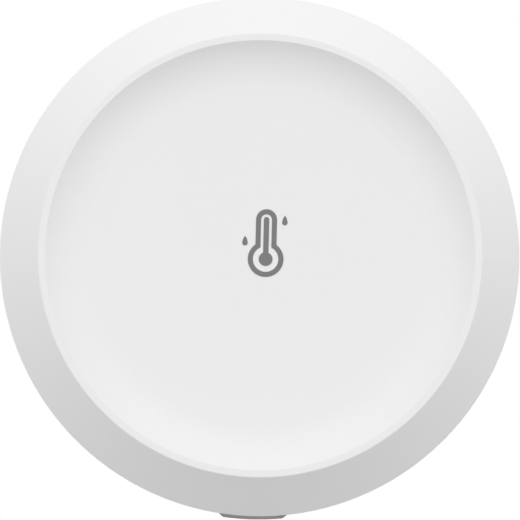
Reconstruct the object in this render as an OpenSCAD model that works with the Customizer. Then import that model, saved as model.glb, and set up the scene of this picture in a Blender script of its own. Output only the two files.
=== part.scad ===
// Round wall sensor for temperature and humidity. A bevelled case with a dished face holds two AAA cells
// and a circuit board, and pulls forward off a base that stays on the wall.
// Millimetres, +Z up, the face looks towards -Y. The origin is the centre of the face that meets the wall.
// Pieces are drawn lying on their back, with x to the right, y up and z towards the front, and stood up last.

/* [Case] */
// Room between the corners of the battery tray and the case wall
case_room = 1.25; // [1:0.05:6]
// Thickness of the case wall
case_wall = 1.6; // [1.2:0.1:2.2]
// How far the side wall leans in from the rim to the rear edge
case_draft = 1.2; // [0.4:0.1:2]
// Gap between the wall and the rear edge of the case
wall_gap = 0.8; // [0.5:0.1:1.2]
// Width of the bevel, seen from the front
bevel_w = 4.83; // [3:0.01:6]
// Depth of the bevel, from the lip back to the rim
bevel_depth = 4.83; // [3.6:0.01:6]
// Width of the flat lip round the dish
lip_w = 0.85; // [0.5:0.05:2]
// Rounding of the rim
rim_round = 0.1; // [0.1:0.1:1]
// Rounding of the outer edge of the lip
lip_round = 0.2; // [0.1:0.05:0.5]
// Depth of the stop ribs inside the side wall
rib_h = 0.8; // [0.5:0.1:0.9]
// Thickness of the stop ribs
rib_t = 1.2; // [0.8:0.1:2]
// Width of the notch in the rear edge for prising the case off
notch_w = 10; // [6:0.5:14]
// Height of that notch
notch_h = 1; // [0.6:0.1:1.6]

/* [Face] */
// Depth of the dish below the lip
dish_depth = 2.2; // [1.5:0.05:3]
// Width of the curved part of the dish
dish_curve_w = 5.2; // [5:0.1:10]
// Thickness of the face
face_t = 1.6; // [1.2:0.1:2.2]

/* [Pictogram] */
// Thickness of the printed layer
print_t = 0.05; // [0.05:0.01:0.2]
// Bulb centre, to the right of the middle of the face
sign_x = 0.71; // [-4:0.01:4]
// Bulb centre, above the middle of the face
sign_y = -0.4; // [-4:0.01:4]
// Outer radius of the bulb outline
bulb_r = 2.23; // [1.8:0.01:3]
// Width of the outline
line_w = 0.63; // [0.4:0.01:0.8]
// Outer radius of the tube outline
tube_r = 1.31; // [1.1:0.01:1.6]
// Height of the tube's round end above the bulb centre
tube_rise = 4.92; // [4:0.01:7]
// Radius of the filled bulb
core_r = 0.86; // [0.5:0.01:1.1]
// Width of the filled stem
stem_w = 0.67; // [0.3:0.01:0.8]
// Radius of a drop
drop_r = 0.34; // [0.2:0.01:0.6]
// Height of a drop's point above its round centre
drop_tip = 0.86; // [0.7:0.01:1.4]
// Gap between the right drop and the tube
right_drop_gap = 0.64; // [0.3:0.01:1.5]
// Height of the right drop above the bulb centre
right_drop_y = 4.61; // [3:0.01:6]
// Gap between the left drop and the tube
left_drop_gap = 0.98; // [0.8:0.01:2]
// Height of the left drop above the bulb centre
left_drop_y = 1.98; // [1.5:0.01:5]

/* [Wall base] */
// Thickness of the base plate
base_t = 1.6; // [1.4:0.1:2.4]
// Gap between the base and the case, on the radius
base_fit = 0.3; // [0.2:0.05:0.5]
// Thickness of the spigot ring
spigot_t = 1.2; // [0.8:0.1:2]
// Height that the grip beads stand out from the spigot
bead_proud = 0.15; // [0.05:0.05:0.15]
// Diameter of the adhesive pad
pad_d = 32; // [20:1:34]
// Thickness of the adhesive pad
pad_t = 0.9; // [0.6:0.1:1.2]
// How far the pad stands out behind the base
pad_proud = 0.4; // [0.2:0.1:0.5]
// Diameter of the wall screw holes
wall_hole_d = 4.2; // [3.2:0.1:4.6]
// Distance between the wall screw holes
wall_hole_pitch = 41; // [40:0.5:46]
// Depth of the countersink of a wall screw hole
sink_depth = 0.6; // [0.3:0.1:0.9]

/* [Cells] */
// Diameter of a cell
cell_d = 10.5; // [9.5:0.1:14.5]
// Length of a cell with its nub
cell_l = 44.5; // [40:0.1:50.5]
// Diameter of the nub
nub_d = 3.8; // [3:0.1:5.5]
// Height of the nub
nub_h = 0.9; // [0.6:0.1:1.5]
// Rounding of the can's ends
can_round = 0.6; // [0.2:0.1:1.2]
// Rounding of the nub's end
nub_round = 0.3; // [0.1:0.1:0.5]
// Thickness of the cell sleeve
sleeve_t = 0.18; // [0.1:0.02:0.3]
// Gap between the two cells
cell_spacing = 1; // [0.9:0.1:3]
// Room between a cell and the tray round it
cell_fit = 0.25; // [0.1:0.05:0.6]
// Room between the cells and the base plate
cell_back_room = 0.5; // [0.3:0.1:1.5]

/* [Battery contacts] */
// Thickness of the contact plates
contact_t = 0.3; // [0.2:0.05:0.5]
// Width of a contact plate
contact_w = 8; // [5:0.5:9]
// Height of a contact plate
contact_h = 6.8; // [6:0.1:7.6]
// Height of the bump that meets a nub
bump_h = 0.4; // [0.2:0.1:0.8]
// Radius of that bump
bump_r = 1.5; // [1:0.1:2]
// Length of a battery spring between its plate and its cell
spring_l = 3.2; // [3:0.1:5]
// Diameter of the spring wire
wire_d = 0.45; // [0.3:0.05:0.5]
// Turns of a battery spring
spring_turns = 3; // [2:0.5:3]
// Radius of the spring's wide end
spring_big_r = 3; // [2.5:0.1:3.4]
// Radius of the spring's narrow end
spring_small_r = 1.9; // [1.5:0.1:2.2]
// Width of a contact's solder tail
tail_w = 1.6; // [1:0.1:3]
// How far a tail stands out in front of the board
tail_out = 0.6; // [0.3:0.1:1.2]

/* [Battery tray] */
// Thickness of the tray walls
tray_wall = 1.2; // [0.8:0.1:2]
// Thickness of the tray floor
tray_floor = 1; // [0.8:0.1:2]
// Depth of the tray walls behind the floor
tray_depth = 8; // [7.6:0.1:8.6]
// Thickness of the rib between the cells
divider_t = 0.6; // [0.4:0.1:0.7]
// Depth of the rib between the cells
divider_h = 4; // [2:0.1:7]
// Inner radius of the air baffle round the sensor
baffle_r = 4.4; // [3.6:0.1:4.8]
// Thickness of the air baffle
baffle_t = 1; // [0.8:0.1:1.2]

/* [Tray screws] */
// Thread diameter of a tray screw
screw_d = 2; // [1.6:0.1:2.2]
// Length of a tray screw under its head
screw_l = 4.5; // [3.6:0.1:4.8]
// Diameter of the screw head
screw_head_d = 3.8; // [3.2:0.1:4]
// Height of the screw head
screw_head_h = 1.3; // [1:0.1:2]
// Length of the cross recess in the screw head
cross_l = 2.2; // [1.4:0.1:2.6]
// Width of the cross recess
cross_w = 0.5; // [0.3:0.05:0.7]
// Depth of the cross recess
cross_depth = 0.7; // [0.4:0.1:0.9]
// Distance between the screws, left to right
screw_pitch_x = 19; // [18.5:0.5:24]
// Outer radius of a screw boss in the case
boss_r = 2; // [1.8:0.1:2.4]

/* [Circuit board] */
// Thickness of the circuit board
board_t = 1; // [0.8:0.1:1.6]
// Gap between the board and the stop ribs
board_fit = 0.4; // [0.2:0.05:1]
// Room between the board and the back of the face
front_room = 2; // [1.6:0.05:4]

/* [Pairing key] */
// Width of the key
key_w = 8.4; // [6:0.1:10]
// Height of the key, front to back
key_h = 8.2; // [7:0.1:9]
// Distance from the rim back to the key
key_back = 1.2; // [1:0.1:2]
// Rounding of the key's corners
key_round = 1.4; // [0.5:0.1:3]
// Rounding of the key's outer edges
key_edge = 0.4; // [0.2:0.05:0.8]
// Length of the slanted cut at either end of the key's face
key_cut = 0.4; // [0.1:0.05:0.8]
// How far the key stands out from the rim
key_proud = 0.32; // [0:0.01:1]
// Travel of the key
key_travel = 0.4; // [0.2:0.05:0.6]
// Gap round the key
key_fit = 0.15; // [0.1:0.01:0.3]
// Width of the flange that keeps the key in
flange_w = 0.7; // [0.4:0.1:1]
// Thickness of that flange
flange_t = 0.8; // [0.6:0.1:0.9]
// Length of the key's stem
stem_l = 2.6; // [1.5:0.1:4]
// Thickness of the key's stem
stem_t = 2.4; // [1.5:0.1:3]

/* [Key switch] */
// Width of the switch body
switch_w = 6; // [4:0.1:8]
// Depth of the switch body
switch_d = 3.6; // [3.2:0.1:5]
// Height of the switch body off the board
switch_h = 3.8; // [3:0.1:5]
// Width of the plunger
plunger_w = 2.6; // [1.5:0.1:3.4]
// Height of the plunger
plunger_h = 1.4; // [1:0.1:2]
// How far the plunger stands out
plunger_out = 1; // [0.8:0.1:2]
// Length of the plunger inside the body
plunger_in = 1.4; // [1:0.1:2]
// Gap round the plunger
plunger_fit = 0.08; // [0.05:0.01:0.15]

/* [Air slots] */
// Number of slots on each side
slot_count = 5; // [2:1:5]
// Width of a slot
slot_w = 1.2; // [0.8:0.1:1.6]
// Length of a slot, front to back
slot_l = 7; // [4:0.5:8]
// Angle between neighbouring slots
slot_step = 5.5; // [4:0.5:6]
// Angle from the key to the middle of a group of slots
slot_angle = 40; // [38:1:44]
// Thickness of the dust filter
filter_t = 0.3; // [0.2:0.05:0.6]
// Overlap of the filter round the slots
filter_lap = 0.7; // [0.5:0.1:1.2]

/* [Sensor] */
// Side of the sensor chip
chip_w = 2.5; // [2:0.1:3]
// Height of the sensor chip
chip_h = 0.9; // [0.7:0.1:1.3]
// Radius of the sensor membrane
membrane_r = 0.9; // [0.5:0.05:1]
// Thickness of the sensor membrane
membrane_t = 0.15; // [0.1:0.05:0.3]
// Distance from the board's edge in to the sensor
chip_inset = 3.5; // [3:0.1:5]
// Width of the heat slots in the board beside the sensor
heat_slot_w = 0.8; // [0.6:0.1:1.2]
// Length of the heat slots
heat_slot_l = 5; // [3:0.1:6]

/* [Radio] */
// Width of the radio board
radio_w = 13; // [11:0.5:13.5]
// Length of the radio board
radio_l = 12.8; // [11:0.1:13.2]
// Thickness of the radio board
radio_t = 0.8; // [0.6:0.1:1.2]
// Distance from the main board's edge to the radio board
radio_edge = 0.8; // [0.5:0.1:1.5]
// Least room between the radio board and the tray
radio_gap = 0.8; // [0.4:0.1:2]
// Length of the aerial end of the radio board
aerial_l = 4.2; // [3.5:0.1:5]
// Height of the shield can
shield_h = 1.8; // [1.2:0.1:2.5]
// Sheet thickness of the shield can
shield_t = 0.25; // [0.15:0.05:0.4]
// Margin of the shield can on the radio board
shield_margin = 0.8; // [0.5:0.1:1.5]
// Width of the aerial's track
track_w = 0.5; // [0.3:0.05:0.6]
// Thickness of the aerial's track
track_t = 0.06; // [0.04:0.01:0.1]
// Number of upright bars in the aerial
aerial_bars = 8; // [4:2:8]

/* [Small parts] */
// Diameter of the can capacitor
can_d = 5; // [4:0.1:5.2]
// Height of the can capacitor above its foot
can_h = 5; // [3:0.1:6]
// Margin of the can capacitor's foot
foot_margin = 0.15; // [0.1:0.05:0.3]
// Height of the can capacitor's foot
foot_h = 1; // [0.6:0.1:1.5]
// Length of the memory chip
memory_l = 5; // [4:0.1:5.2]
// Width of the memory chip
memory_w = 4; // [3:0.1:4.5]
// Height of the memory chip
memory_h = 0.9; // [0.6:0.1:1.5]
// Length of the crystal
crystal_l = 3.2; // [2:0.1:3.4]
// Width of the crystal
crystal_w = 1.5; // [1:0.1:1.8]
// Height of the crystal
crystal_h = 0.7; // [0.5:0.1:1]
// Length of the status light
light_l = 1.6; // [1:0.1:2]
// Width of the status light
light_w = 0.8; // [0.5:0.1:1.2]
// Height of the status light
light_h = 0.6; // [0.4:0.1:1]
// Length of a small capacitor or resistor
chip_part_l = 1.6; // [1:0.1:2]
// Width of a small capacitor or resistor
chip_part_w = 0.8; // [0.5:0.1:1.2]
// Height of a small capacitor
capacitor_h = 0.8; // [0.4:0.1:1.2]
// Height of a small resistor
resistor_h = 0.45; // [0.3:0.05:0.8]
// Number of small parts in a row
chip_part_count = 3; // [1:1:3]
// Distance between small parts in a row
chip_part_pitch = 2; // [1.6:0.1:2.2]

/* [Hidden] */
$fn = 96;
// Overshoot of a cut past the face that it opens
past = 0.5;
// How deep an added rib or boss reaches into the wall that carries it
sunk = 0.4;
// Gap left where two parts only just touch
touch = 0.02;
// Share of a drop's radius at which its bowed sides start
drop_waist = 0.95;
// Rise of the slanted cut at an end of the key's face, per length
key_cut_rate = 0.8;
// Share of the switch's height at which its plunger sits
plunger_rise = 0.6;
// Gap between a filter strip and the case wall
strip_gap = 0.05;
// Gap between a contact plate and the tray
contact_fit = 0.05;
// Gap round a solder tail in its slot
tail_fit = 0.2;
// Gap between a screw and its clearance hole, on the radius
screw_fit = 0.15;
// Room round a thread in its boss, on the radius
thread_room = 0.03;
// Gap between the spigot and what stops on it
stop_gap = 0.2;
// Gap between the adhesive pad and the side of its recess
pad_fit = 0.2;
// Rounding of the case's rear edge
rear_round = 0.3;
// Margin of a screw ear round its head
ear_margin = 0.7;
// Room between a screw head and the tray wall
head_room = 0.3;
// Angles of the stop ribs, counted from +x
rib_angles = [20, 60, 120, 160, 200, 340];
// Angles of the grip beads on the spigot, and how far round each one goes
bead_angles = [35, 125, 215, 305];
bead_arc = 20;
bead_r = 0.4;
// Stiffening ribs on the front of the base plate
base_rib_t = 1;
base_rib_h = 1.8;
base_rib_gap = 0.8;
// Rings in each turn of a spring, and sides of its wire
spring_rings = 8;
wire_sides = 6;

// Heights from the wall forward
base_rear_z = pad_proud;
base_front_z = base_rear_z + base_t;
cell_rear_z = base_front_z + cell_back_room;
cell_z = cell_rear_z + cell_d / 2;
floor_z = cell_rear_z + cell_d + cell_fit;
board_z = floor_z + tray_floor;
board_front_z = board_z + board_t;
face_rear_z = board_front_z + front_room;
face_z = face_rear_z + face_t;
lip_z = face_z + dish_depth;
rim_z = lip_z - bevel_depth;
case_rear_z = wall_gap;
tray_rear_z = floor_z - tray_depth;
spigot_z = tray_rear_z - 2 * stop_gap;
rib_rear_z = spigot_z + stop_gap;

// Battery bay, with the cells side by side along x
bay_half_l = (cell_l + spring_l + bump_h) / 2;
bay_end_x = bay_half_l + contact_t + contact_fit;
tray_half_l = bay_end_x + tray_wall;
cell_y = (cell_d + cell_spacing) / 2;
bay_half_w = cell_y + cell_d / 2 + cell_fit;
tray_half_w = bay_half_w + tray_wall;
tray_corner_r = norm([tray_half_l, tray_half_w]);
cell_x = bay_half_l - bump_h - touch - cell_l;

// Tray screws
screw_x = screw_pitch_x / 2;
screw_y = tray_half_w + head_room + screw_head_d / 2;
ear_r = screw_head_d / 2 + ear_margin;
screw_tip_z = floor_z + screw_l;
near_screw = [-screw_x, -screw_y];

// Least board radius that leaves the radio board clear of the tray, and the baffle clear of a screw head
chip_angle = 270 - slot_angle;
chip_way = [cos(chip_angle), sin(chip_angle)];
baffle_need = baffle_r + baffle_t + head_room + screw_head_d / 2;
baffle_off = cross(chip_way, near_screw);
baffle_reach = chip_way * near_screw + sqrt(max(0, pow(baffle_need, 2) - pow(baffle_off, 2)));
radio_need_r = norm([radio_w / 2, tray_half_w + radio_gap + radio_l + radio_edge]);
board_need_r = max(radio_need_r, baffle_reach + chip_inset);

// Radii of the case, worked outwards from the tray and the board
mouth_r = max(tray_corner_r + case_room, board_need_r + board_fit + rib_h);
case_rear_r = mouth_r + case_wall;
rim_r = case_rear_r + case_draft;
lip_r = rim_r - bevel_w;
dish_r = lip_r - lip_w;
dish_flat_r = dish_r - dish_curve_w;
dish_slope = 2 * atan(dish_depth / dish_curve_w);
dish_arc_r = dish_curve_w / sin(dish_slope);
base_r = mouth_r - base_fit;
rib_r = mouth_r - rib_h;
board_r = rib_r - board_fit;

// Lean of the side wall, and the inner faces of the side wall and of the bevel
draft_rate = case_draft / (rim_z - case_rear_z);
bevel_rate = bevel_w / bevel_depth;
bevel_wall = case_wall * norm([1, bevel_rate]);
knee_drop = (bevel_wall - case_wall) / (bevel_rate + draft_rate);
knee_z = rim_z - knee_drop;
function side_r(z) = rim_r - (rim_z - z) * draft_rate;
function inner_r(z) = side_r(z) - case_wall;
function bevel_inner_z(r) = rim_z + (rim_r - bevel_wall - r) / bevel_rate;

// Pairing key and the switch behind it
key_front_z = rim_z - key_back;
key_rear_z = key_front_z - key_h;
key_z = (key_front_z + key_rear_z) / 2;
key_r = rim_r + key_proud;
flange_rear_z = key_rear_z - flange_w;
flange_front_z = key_front_z + flange_w;
plunger_z = board_z - plunger_rise * switch_h;
stem_r = inner_r(flange_rear_z) - key_fit - flange_t;
stem_tip_r = stem_r - stem_l;
plunger_tip_r = stem_tip_r - touch;
switch_r = plunger_tip_r - plunger_out;

// Sensor corner and the parts round the board
slot_z = floor_z - sunk - slot_l / 2 - filter_lap;
chip_r = board_r - chip_inset;
chip_at = chip_r * chip_way;
radio_top_y = sqrt(board_r * board_r - radio_w * radio_w / 4) - radio_edge;
radio_y = radio_top_y - radio_l;
shield_l = radio_l - aerial_l - shield_margin;

// A vector of length 1 that points the same way
function unit(v) = v / norm(v);

// Half of the angle at corner b of an outline, and the centre of a rounding of radius r there
function half_angle(a, b, c) = acos(unit(a - b) * unit(c - b)) / 2;
function round_hub(a, b, c, r) = b + unit(unit(a - b) + unit(c - b)) * r / sin(half_angle(a, b, c));

// The points where a rounding of radius r leaves the two sides of corner b
function round_ends(a, b, c, r) =
    r == 0
    ? [b]
    : [for (side = [a, c]) b + unit(side - b) * r / tan(half_angle(a, b, c))];

// An outline whose convex corners are rounded by true arcs
module rounded_outline(points, rounds) {
    count = len(points);
    last = count - 1;
    polygon([
        for (i = [0:last])
            each round_ends(points[(i + last) % count], points[i], points[(i + 1) % count], rounds[i])
    ]);
    for (i = [1:last - 1])
        if (rounds[i] > 0)
            translate(round_hub(points[i - 1], points[i], points[i + 1], rounds[i]))
                circle(rounds[i]);
}

// A rectangle with rounded corners, centred
module rounded_box_outline(w, h, r) {
    square([w - 2 * r, h], center = true);
    square([w, h - 2 * r], center = true);
    for (x = [-1, 1], y = [-1, 1])
        translate([x * (w / 2 - r), y * (h / 2 - r)])
            circle(r);
}

// A slot with round ends, centred, with its length along y
module slot_outline(w, l) {
    square([w, l - w], center = true);
    for (y = [-1, 1])
        translate([0, y * (l - w) / 2])
            circle(w / 2);
}

// A block centred on x and y, from height z1 to z2
module block(w, d, z1, z2) {
    translate([-w / 2, -d / 2, z1])
        cube([w, d, z2 - z1]);
}

// A round bar along z from height z1 to z2
module bar(r, z1, z2) {
    translate([0, 0, z1])
        cylinder(h = z2 - z1, r = r);
}

// Stands the part up against the wall, with its face towards -Y
module stand() {
    rotate([90, 0, 0])
        children();
}

// An outline drawn as seen from outside the side wall at 6 o'clock, pushed inwards from r2 to r1
module through_side(r1, r2) {
    translate([0, -r2, 0])
        rotate([90, 0, 180])
            linear_extrude(r2 - r1)
                children();
}

// Copies for the four tray screws
module at_screws() {
    for (x = [-1, 1], y = [-1, 1])
        translate([x * screw_x, y * screw_y, 0])
            children();
}

// The lower cell's place, with its nub towards +x, and the upper cell's, turned end for end
module at_lower_cell() {
    translate([0, -cell_y, cell_z])
        children();
}
module at_upper_cell() {
    translate([0, cell_y, cell_z])
        rotate([0, 0, 180])
            children();
}

// The space that the dish takes out of the face, as a half section
module dish_section() {
    translate([0, face_z])
        square([dish_flat_r, 2 * dish_depth]);
    translate([dish_flat_r, face_z + dish_arc_r])
        circle(dish_arc_r);
}

// The hollow of the case, as a half section
module hollow_section() {
    difference() {
        polygon([
            [0, case_rear_z - past],
            [inner_r(case_rear_z - past), case_rear_z - past],
            [inner_r(knee_z), knee_z],
            [rim_r - bevel_wall - bevel_w, lip_z],
            [0, lip_z]
        ]);
        translate([0, face_rear_z])
            square([dish_flat_r, 2 * (lip_z - face_rear_z)]);
        translate([dish_flat_r, face_z + dish_arc_r])
            circle(dish_arc_r + face_t);
    }
}

// Bevelled shell with its dish
module case_shell() {
    rotate_extrude()
        difference() {
            rounded_outline(
                [[0, case_rear_z], [case_rear_r, case_rear_z], [rim_r, rim_z], [lip_r, lip_z], [0, lip_z]],
                [0, rear_round, rim_round, lip_round, 0]
            );
            dish_section();
            hollow_section();
        }
}

// A rib inside the side wall that stops on the base's spigot
module stop_rib() {
    rotate([90, 0, 0])
        translate([0, 0, -rib_t / 2])
            linear_extrude(rib_t)
                polygon([
                    [rib_r, rib_rear_z],
                    [inner_r(rib_rear_z) + sunk, rib_rear_z],
                    [inner_r(knee_z) + sunk, knee_z],
                    [rib_r, bevel_inner_z(rib_r) + sunk]
                ]);
}

// One group of air slots, turned to its place on the side wall
module air_slots(angle) {
    for (i = [0:slot_count - 1])
        rotate([0, 0, angle + (i - (slot_count - 1) / 2) * slot_step])
            translate([0, 0, slot_z])
                through_side(rib_r, rim_r + past)
                    slot_outline(slot_w, slot_l);
}

module front_case() {
    color("whitesmoke")
        stand()
            difference() {
                union() {
                    case_shell();
                    for (a = rib_angles)
                        rotate([0, 0, a])
                            stop_rib();
                    at_screws()
                        bar(boss_r, board_front_z, face_rear_z + sunk);
                }
                at_screws()
                    bar(screw_d / 2 + thread_room, board_front_z - past, screw_tip_z + stop_gap);
                translate([0, 0, key_z])
                    through_side(rib_r, rim_r + past)
                        rounded_box_outline(key_w + 2 * key_fit, key_h + 2 * key_fit, key_round + key_fit);
                air_slots(-slot_angle);
                air_slots(slot_angle);
                translate([0, 0, case_rear_z])
                    through_side(rib_r, rim_r + past)
                        square([notch_w, 2 * notch_h], center = true);
            }
}

// Outline of a thermometer with the given radii of bulb and tube
module thermometer_outline(bulb, tube) {
    circle(bulb);
    translate([-tube, 0])
        square([2 * tube, tube_rise]);
    translate([0, tube_rise])
        circle(tube);
}

// A drop with its point up: two bowed sides that rise out of its round end
module drop_outline() {
    half_w = drop_waist * drop_r;
    bow_r = (drop_tip * drop_tip + half_w * half_w) / (2 * half_w);
    circle(drop_r);
    intersection() {
        translate([bow_r - half_w, 0])
            circle(bow_r);
        translate([half_w - bow_r, 0])
            circle(bow_r);
        translate([-2 * drop_r, 0])
            square([4 * drop_r, 2 * drop_tip]);
    }
}

module printed_pictogram() {
    color("gray")
        stand()
            translate([sign_x, sign_y, face_z])
                linear_extrude(print_t) {
                    difference() {
                        thermometer_outline(bulb_r, tube_r);
                        thermometer_outline(bulb_r - line_w, tube_r - line_w);
                    }
                    thermometer_outline(core_r, stem_w / 2);
                    translate([tube_r + right_drop_gap + drop_r, right_drop_y])
                        drop_outline();
                    translate([-tube_r - left_drop_gap - drop_r, left_drop_y])
                        drop_outline();
                }
}

// The part of a ring behind an outline on the side wall, cut square to the wall
module key_ring(z1, z2, w, h, round) {
    intersection() {
        rotate_extrude()
            children();
        translate([0, 0, (z1 + z2) / 2])
            through_side(stem_r - past, key_r + past)
                rounded_box_outline(w, h, round);
    }
}

// What the slanted cuts take off the corners at both ends of the key's face
module key_end_cuts() {
    end_y = -sqrt(key_r * key_r - key_w * key_w / 4);
    rise = key_cut * key_cut_rate;
    for (side = [-1, 1])
        translate([side * key_w / 2, end_y, key_rear_z - past])
            linear_extrude(key_h + 2 * past)
                polygon([[side * key_cut, 2 * rise], [-2 * side * key_cut, -rise], [side * key_cut, -rise]]);
}

module pairing_key() {
    color("darkgray")
        stand() {
            difference() {
                key_ring(key_rear_z, key_front_z, key_w, key_h, key_round)
                    rounded_outline(
                        [[stem_r, key_rear_z], [key_r, key_rear_z], [key_r, key_front_z], [stem_r, key_front_z]],
                        [0, key_edge, key_edge, 0]
                    );
                key_end_cuts();
            }
            key_ring(flange_rear_z, flange_front_z, key_w + 2 * flange_w, key_h + 2 * flange_w, key_round)
                polygon([
                    [stem_r, flange_rear_z],
                    [inner_r(flange_rear_z) - key_fit, flange_rear_z],
                    [inner_r(flange_rear_z) - key_fit, flange_front_z],
                    [stem_r, flange_front_z]
                ]);
            translate([0, 0, plunger_z])
                through_side(stem_tip_r, stem_r + sunk)
                    square(stem_t, center = true);
        }
}

// Dust filter strip inside one group of air slots
module filter_strip(angle) {
    z1 = slot_z - slot_l / 2 - filter_lap;
    z2 = slot_z + slot_l / 2 + filter_lap;
    half_w = inner_r(slot_z) * sin((slot_count - 1) / 2 * slot_step) + slot_w / 2 + filter_lap;
    rotate([0, 0, angle])
        intersection() {
            rotate_extrude()
                polygon([
                    [inner_r(z1) - strip_gap - filter_t, z1],
                    [inner_r(z1) - strip_gap, z1],
                    [inner_r(z2) - strip_gap, z2],
                    [inner_r(z2) - strip_gap - filter_t, z2]
                ]);
            translate([0, -rim_r, (z1 + z2) / 2])
                cube([2 * half_w, rim_r, 2 * (z2 - z1)], center = true);
        }
}

module filter_left() {
    color("dimgray")
        stand()
            filter_strip(-slot_angle);
}

module filter_right() {
    color("dimgray")
        stand()
            filter_strip(slot_angle);
}

// Solder tails of the contacts, or the slots that they pass through when a gap is given
module solder_tails(x_sides, y_sides, z1, z2, gap) {
    for (x = x_sides, y = y_sides)
        translate([x * (bay_half_l + contact_t / 2), y * cell_y, 0])
            block(contact_t + 2 * gap, tail_w + 2 * gap, z1, z2);
}

module circuit_board() {
    color("darkgreen")
        stand()
            difference() {
                bar(board_r, board_z, board_front_z);
                at_screws()
                    bar(screw_d / 2 + screw_fit, board_z - past, board_front_z + past);
                solder_tails([-1, 1], [-1, 1], board_z - past, board_front_z + past, tail_fit);
                for (side = [-1, 1])
                    rotate([0, 0, chip_angle])
                        translate([chip_r, side * (chip_w / 2 + heat_slot_w), board_z - past])
                            rotate([0, 0, 90])
                                linear_extrude(board_t + 2 * past)
                                    slot_outline(heat_slot_w, heat_slot_l);
            }
}

// Wall of the air chamber round the sensor, open towards the slots, on an arm from the nearest screw ear
module air_baffle() {
    arm = near_screw - chip_at;
    intersection() {
        translate([chip_at.x, chip_at.y, 0])
            difference() {
                union() {
                    bar(baffle_r + baffle_t, tray_rear_z, board_z);
                    rotate([0, 0, atan2(arm.y, arm.x)])
                        translate([0, -ear_r / 2, floor_z + sunk / 2])
                            cube([norm(arm), ear_r, tray_floor - sunk]);
                }
                bar(baffle_r, tray_rear_z - past, board_z + past);
            }
        bar(chip_r, tray_rear_z - past, board_z + past);
    }
}

module battery_tray() {
    color("gainsboro")
        stand()
            difference() {
                union() {
                    difference() {
                        block(2 * tray_half_l, 2 * tray_half_w, tray_rear_z, board_z);
                        block(2 * bay_end_x, 2 * bay_half_w, tray_rear_z - past, floor_z);
                    }
                    block(2 * bay_half_l, divider_t, floor_z - divider_h, floor_z + sunk);
                    at_screws()
                        bar(ear_r, floor_z, board_z);
                    for (x = [-1, 1], y = [-1, 1])
                        translate([x * screw_x, y * (bay_half_w + screw_y) / 2, 0])
                            block(2 * ear_r, screw_y - bay_half_w, floor_z, board_z);
                    air_baffle();
                }
                at_screws()
                    bar(screw_d / 2 + screw_fit, floor_z - past, board_z + past);
                solder_tails([-1, 1], [-1, 1], floor_z - past, board_z + past, tail_fit);
            }
}

module tray_screws() {
    head_z = floor_z - screw_head_h;
    color("silver")
        stand()
            at_screws() {
                difference() {
                    bar(screw_head_d / 2, head_z, floor_z);
                    for (a = [0, 90])
                        rotate([0, 0, a])
                            block(cross_l, cross_w, head_z - past, head_z + cross_depth);
                }
                bar(screw_d / 2, floor_z, screw_tip_z);
            }
}

// A cell's can along +x, from its flat end to the tip of its nub
module cell_can() {
    can_r = cell_d / 2 - sleeve_t - touch;
    rotate([0, 90, 0])
        rotate_extrude()
            rounded_outline(
                [
                    [0, 0], [can_r, 0], [can_r, cell_l - nub_h],
                    [nub_d / 2, cell_l - nub_h], [nub_d / 2, cell_l], [0, cell_l]
                ],
                [0, can_round, can_round, 0, nub_round, 0]
            );
}

// The sleeve round a cell, on the straight part of its can
module cell_sleeve() {
    rotate([0, 90, 0])
        difference() {
            bar(cell_d / 2, can_round, cell_l - nub_h - can_round);
            bar(cell_d / 2 - sleeve_t, -past, cell_l);
        }
}

module cell_upper() {
    color("silver")
        stand()
            at_upper_cell()
                translate([cell_x, 0, 0])
                    cell_can();
}

module cell_upper_sleeve() {
    color("seagreen")
        stand()
            at_upper_cell()
                translate([cell_x, 0, 0])
                    cell_sleeve();
}

module cell_lower() {
    color("silver")
        stand()
            at_lower_cell()
                translate([cell_x, 0, 0])
                    cell_can();
}

module cell_lower_sleeve() {
    color("seagreen")
        stand()
            at_lower_cell()
                translate([cell_x, 0, 0])
                    cell_sleeve();
}

// Centre line of a spring that narrows towards +x, at a share t of its way
spring_run = cell_x + bay_half_l - wire_d - 2 * touch;
spring_steps = spring_rings * spring_turns;
function spring_radius(t) = spring_big_r + (spring_small_r - spring_big_r) * t;
function spring_angle(t) = 360 * spring_turns * t;
function spring_out(t) = [0, cos(spring_angle(t)), sin(spring_angle(t))];
function spring_at(t) = [spring_run * t, 0, 0] + spring_radius(t) * spring_out(t);

// One ring of the wire, square to the run of the coil
function wire_ring(t) = [
    for (k = [0:wire_sides - 1])
        let (a = 360 * k / wire_sides)
        spring_at(t) + wire_d / 2 * (cos(a) * spring_out(t) + sin(a) * [1, 0, 0])
];

// Least gap between neighbouring turns, measured between points of the centre line
spring_gap = min([
    for (i = [0:spring_steps - 1], j = [i + spring_rings / 2:1:spring_steps])
        norm(spring_at(i / spring_steps) - spring_at(j / spring_steps)) - wire_d
]);
echo(spring_gap = spring_gap);

// One unbroken wire coil
module battery_spring() {
    points = [for (i = [0:spring_steps]) each wire_ring(i / spring_steps)];
    last = spring_steps * wire_sides;
    sides = [
        for (i = [0:spring_steps - 1], k = [0:wire_sides - 1])
            let (a = i * wire_sides + k, b = i * wire_sides + (k + 1) % wire_sides)
            each [[a, a + wire_sides, b], [b, a + wire_sides, b + wire_sides]]
    ];
    first_end = [for (k = [1:wire_sides - 2]) [0, k, k + 1]];
    last_end = [for (k = [1:wire_sides - 2]) [last, last + k + 1, last + k]];
    polyhedron(points, concat(sides, first_end, last_end));
}

// A spring in the frame of the cell that it pushes on
module placed_spring() {
    translate([-bay_half_l + wire_d / 2 + touch, 0, 0])
        battery_spring();
}

module spring_left() {
    color("lightsteelblue")
        stand()
            at_lower_cell()
                placed_spring();
}

module spring_right() {
    color("lightsteelblue")
        stand()
            at_upper_cell()
                placed_spring();
}

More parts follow.
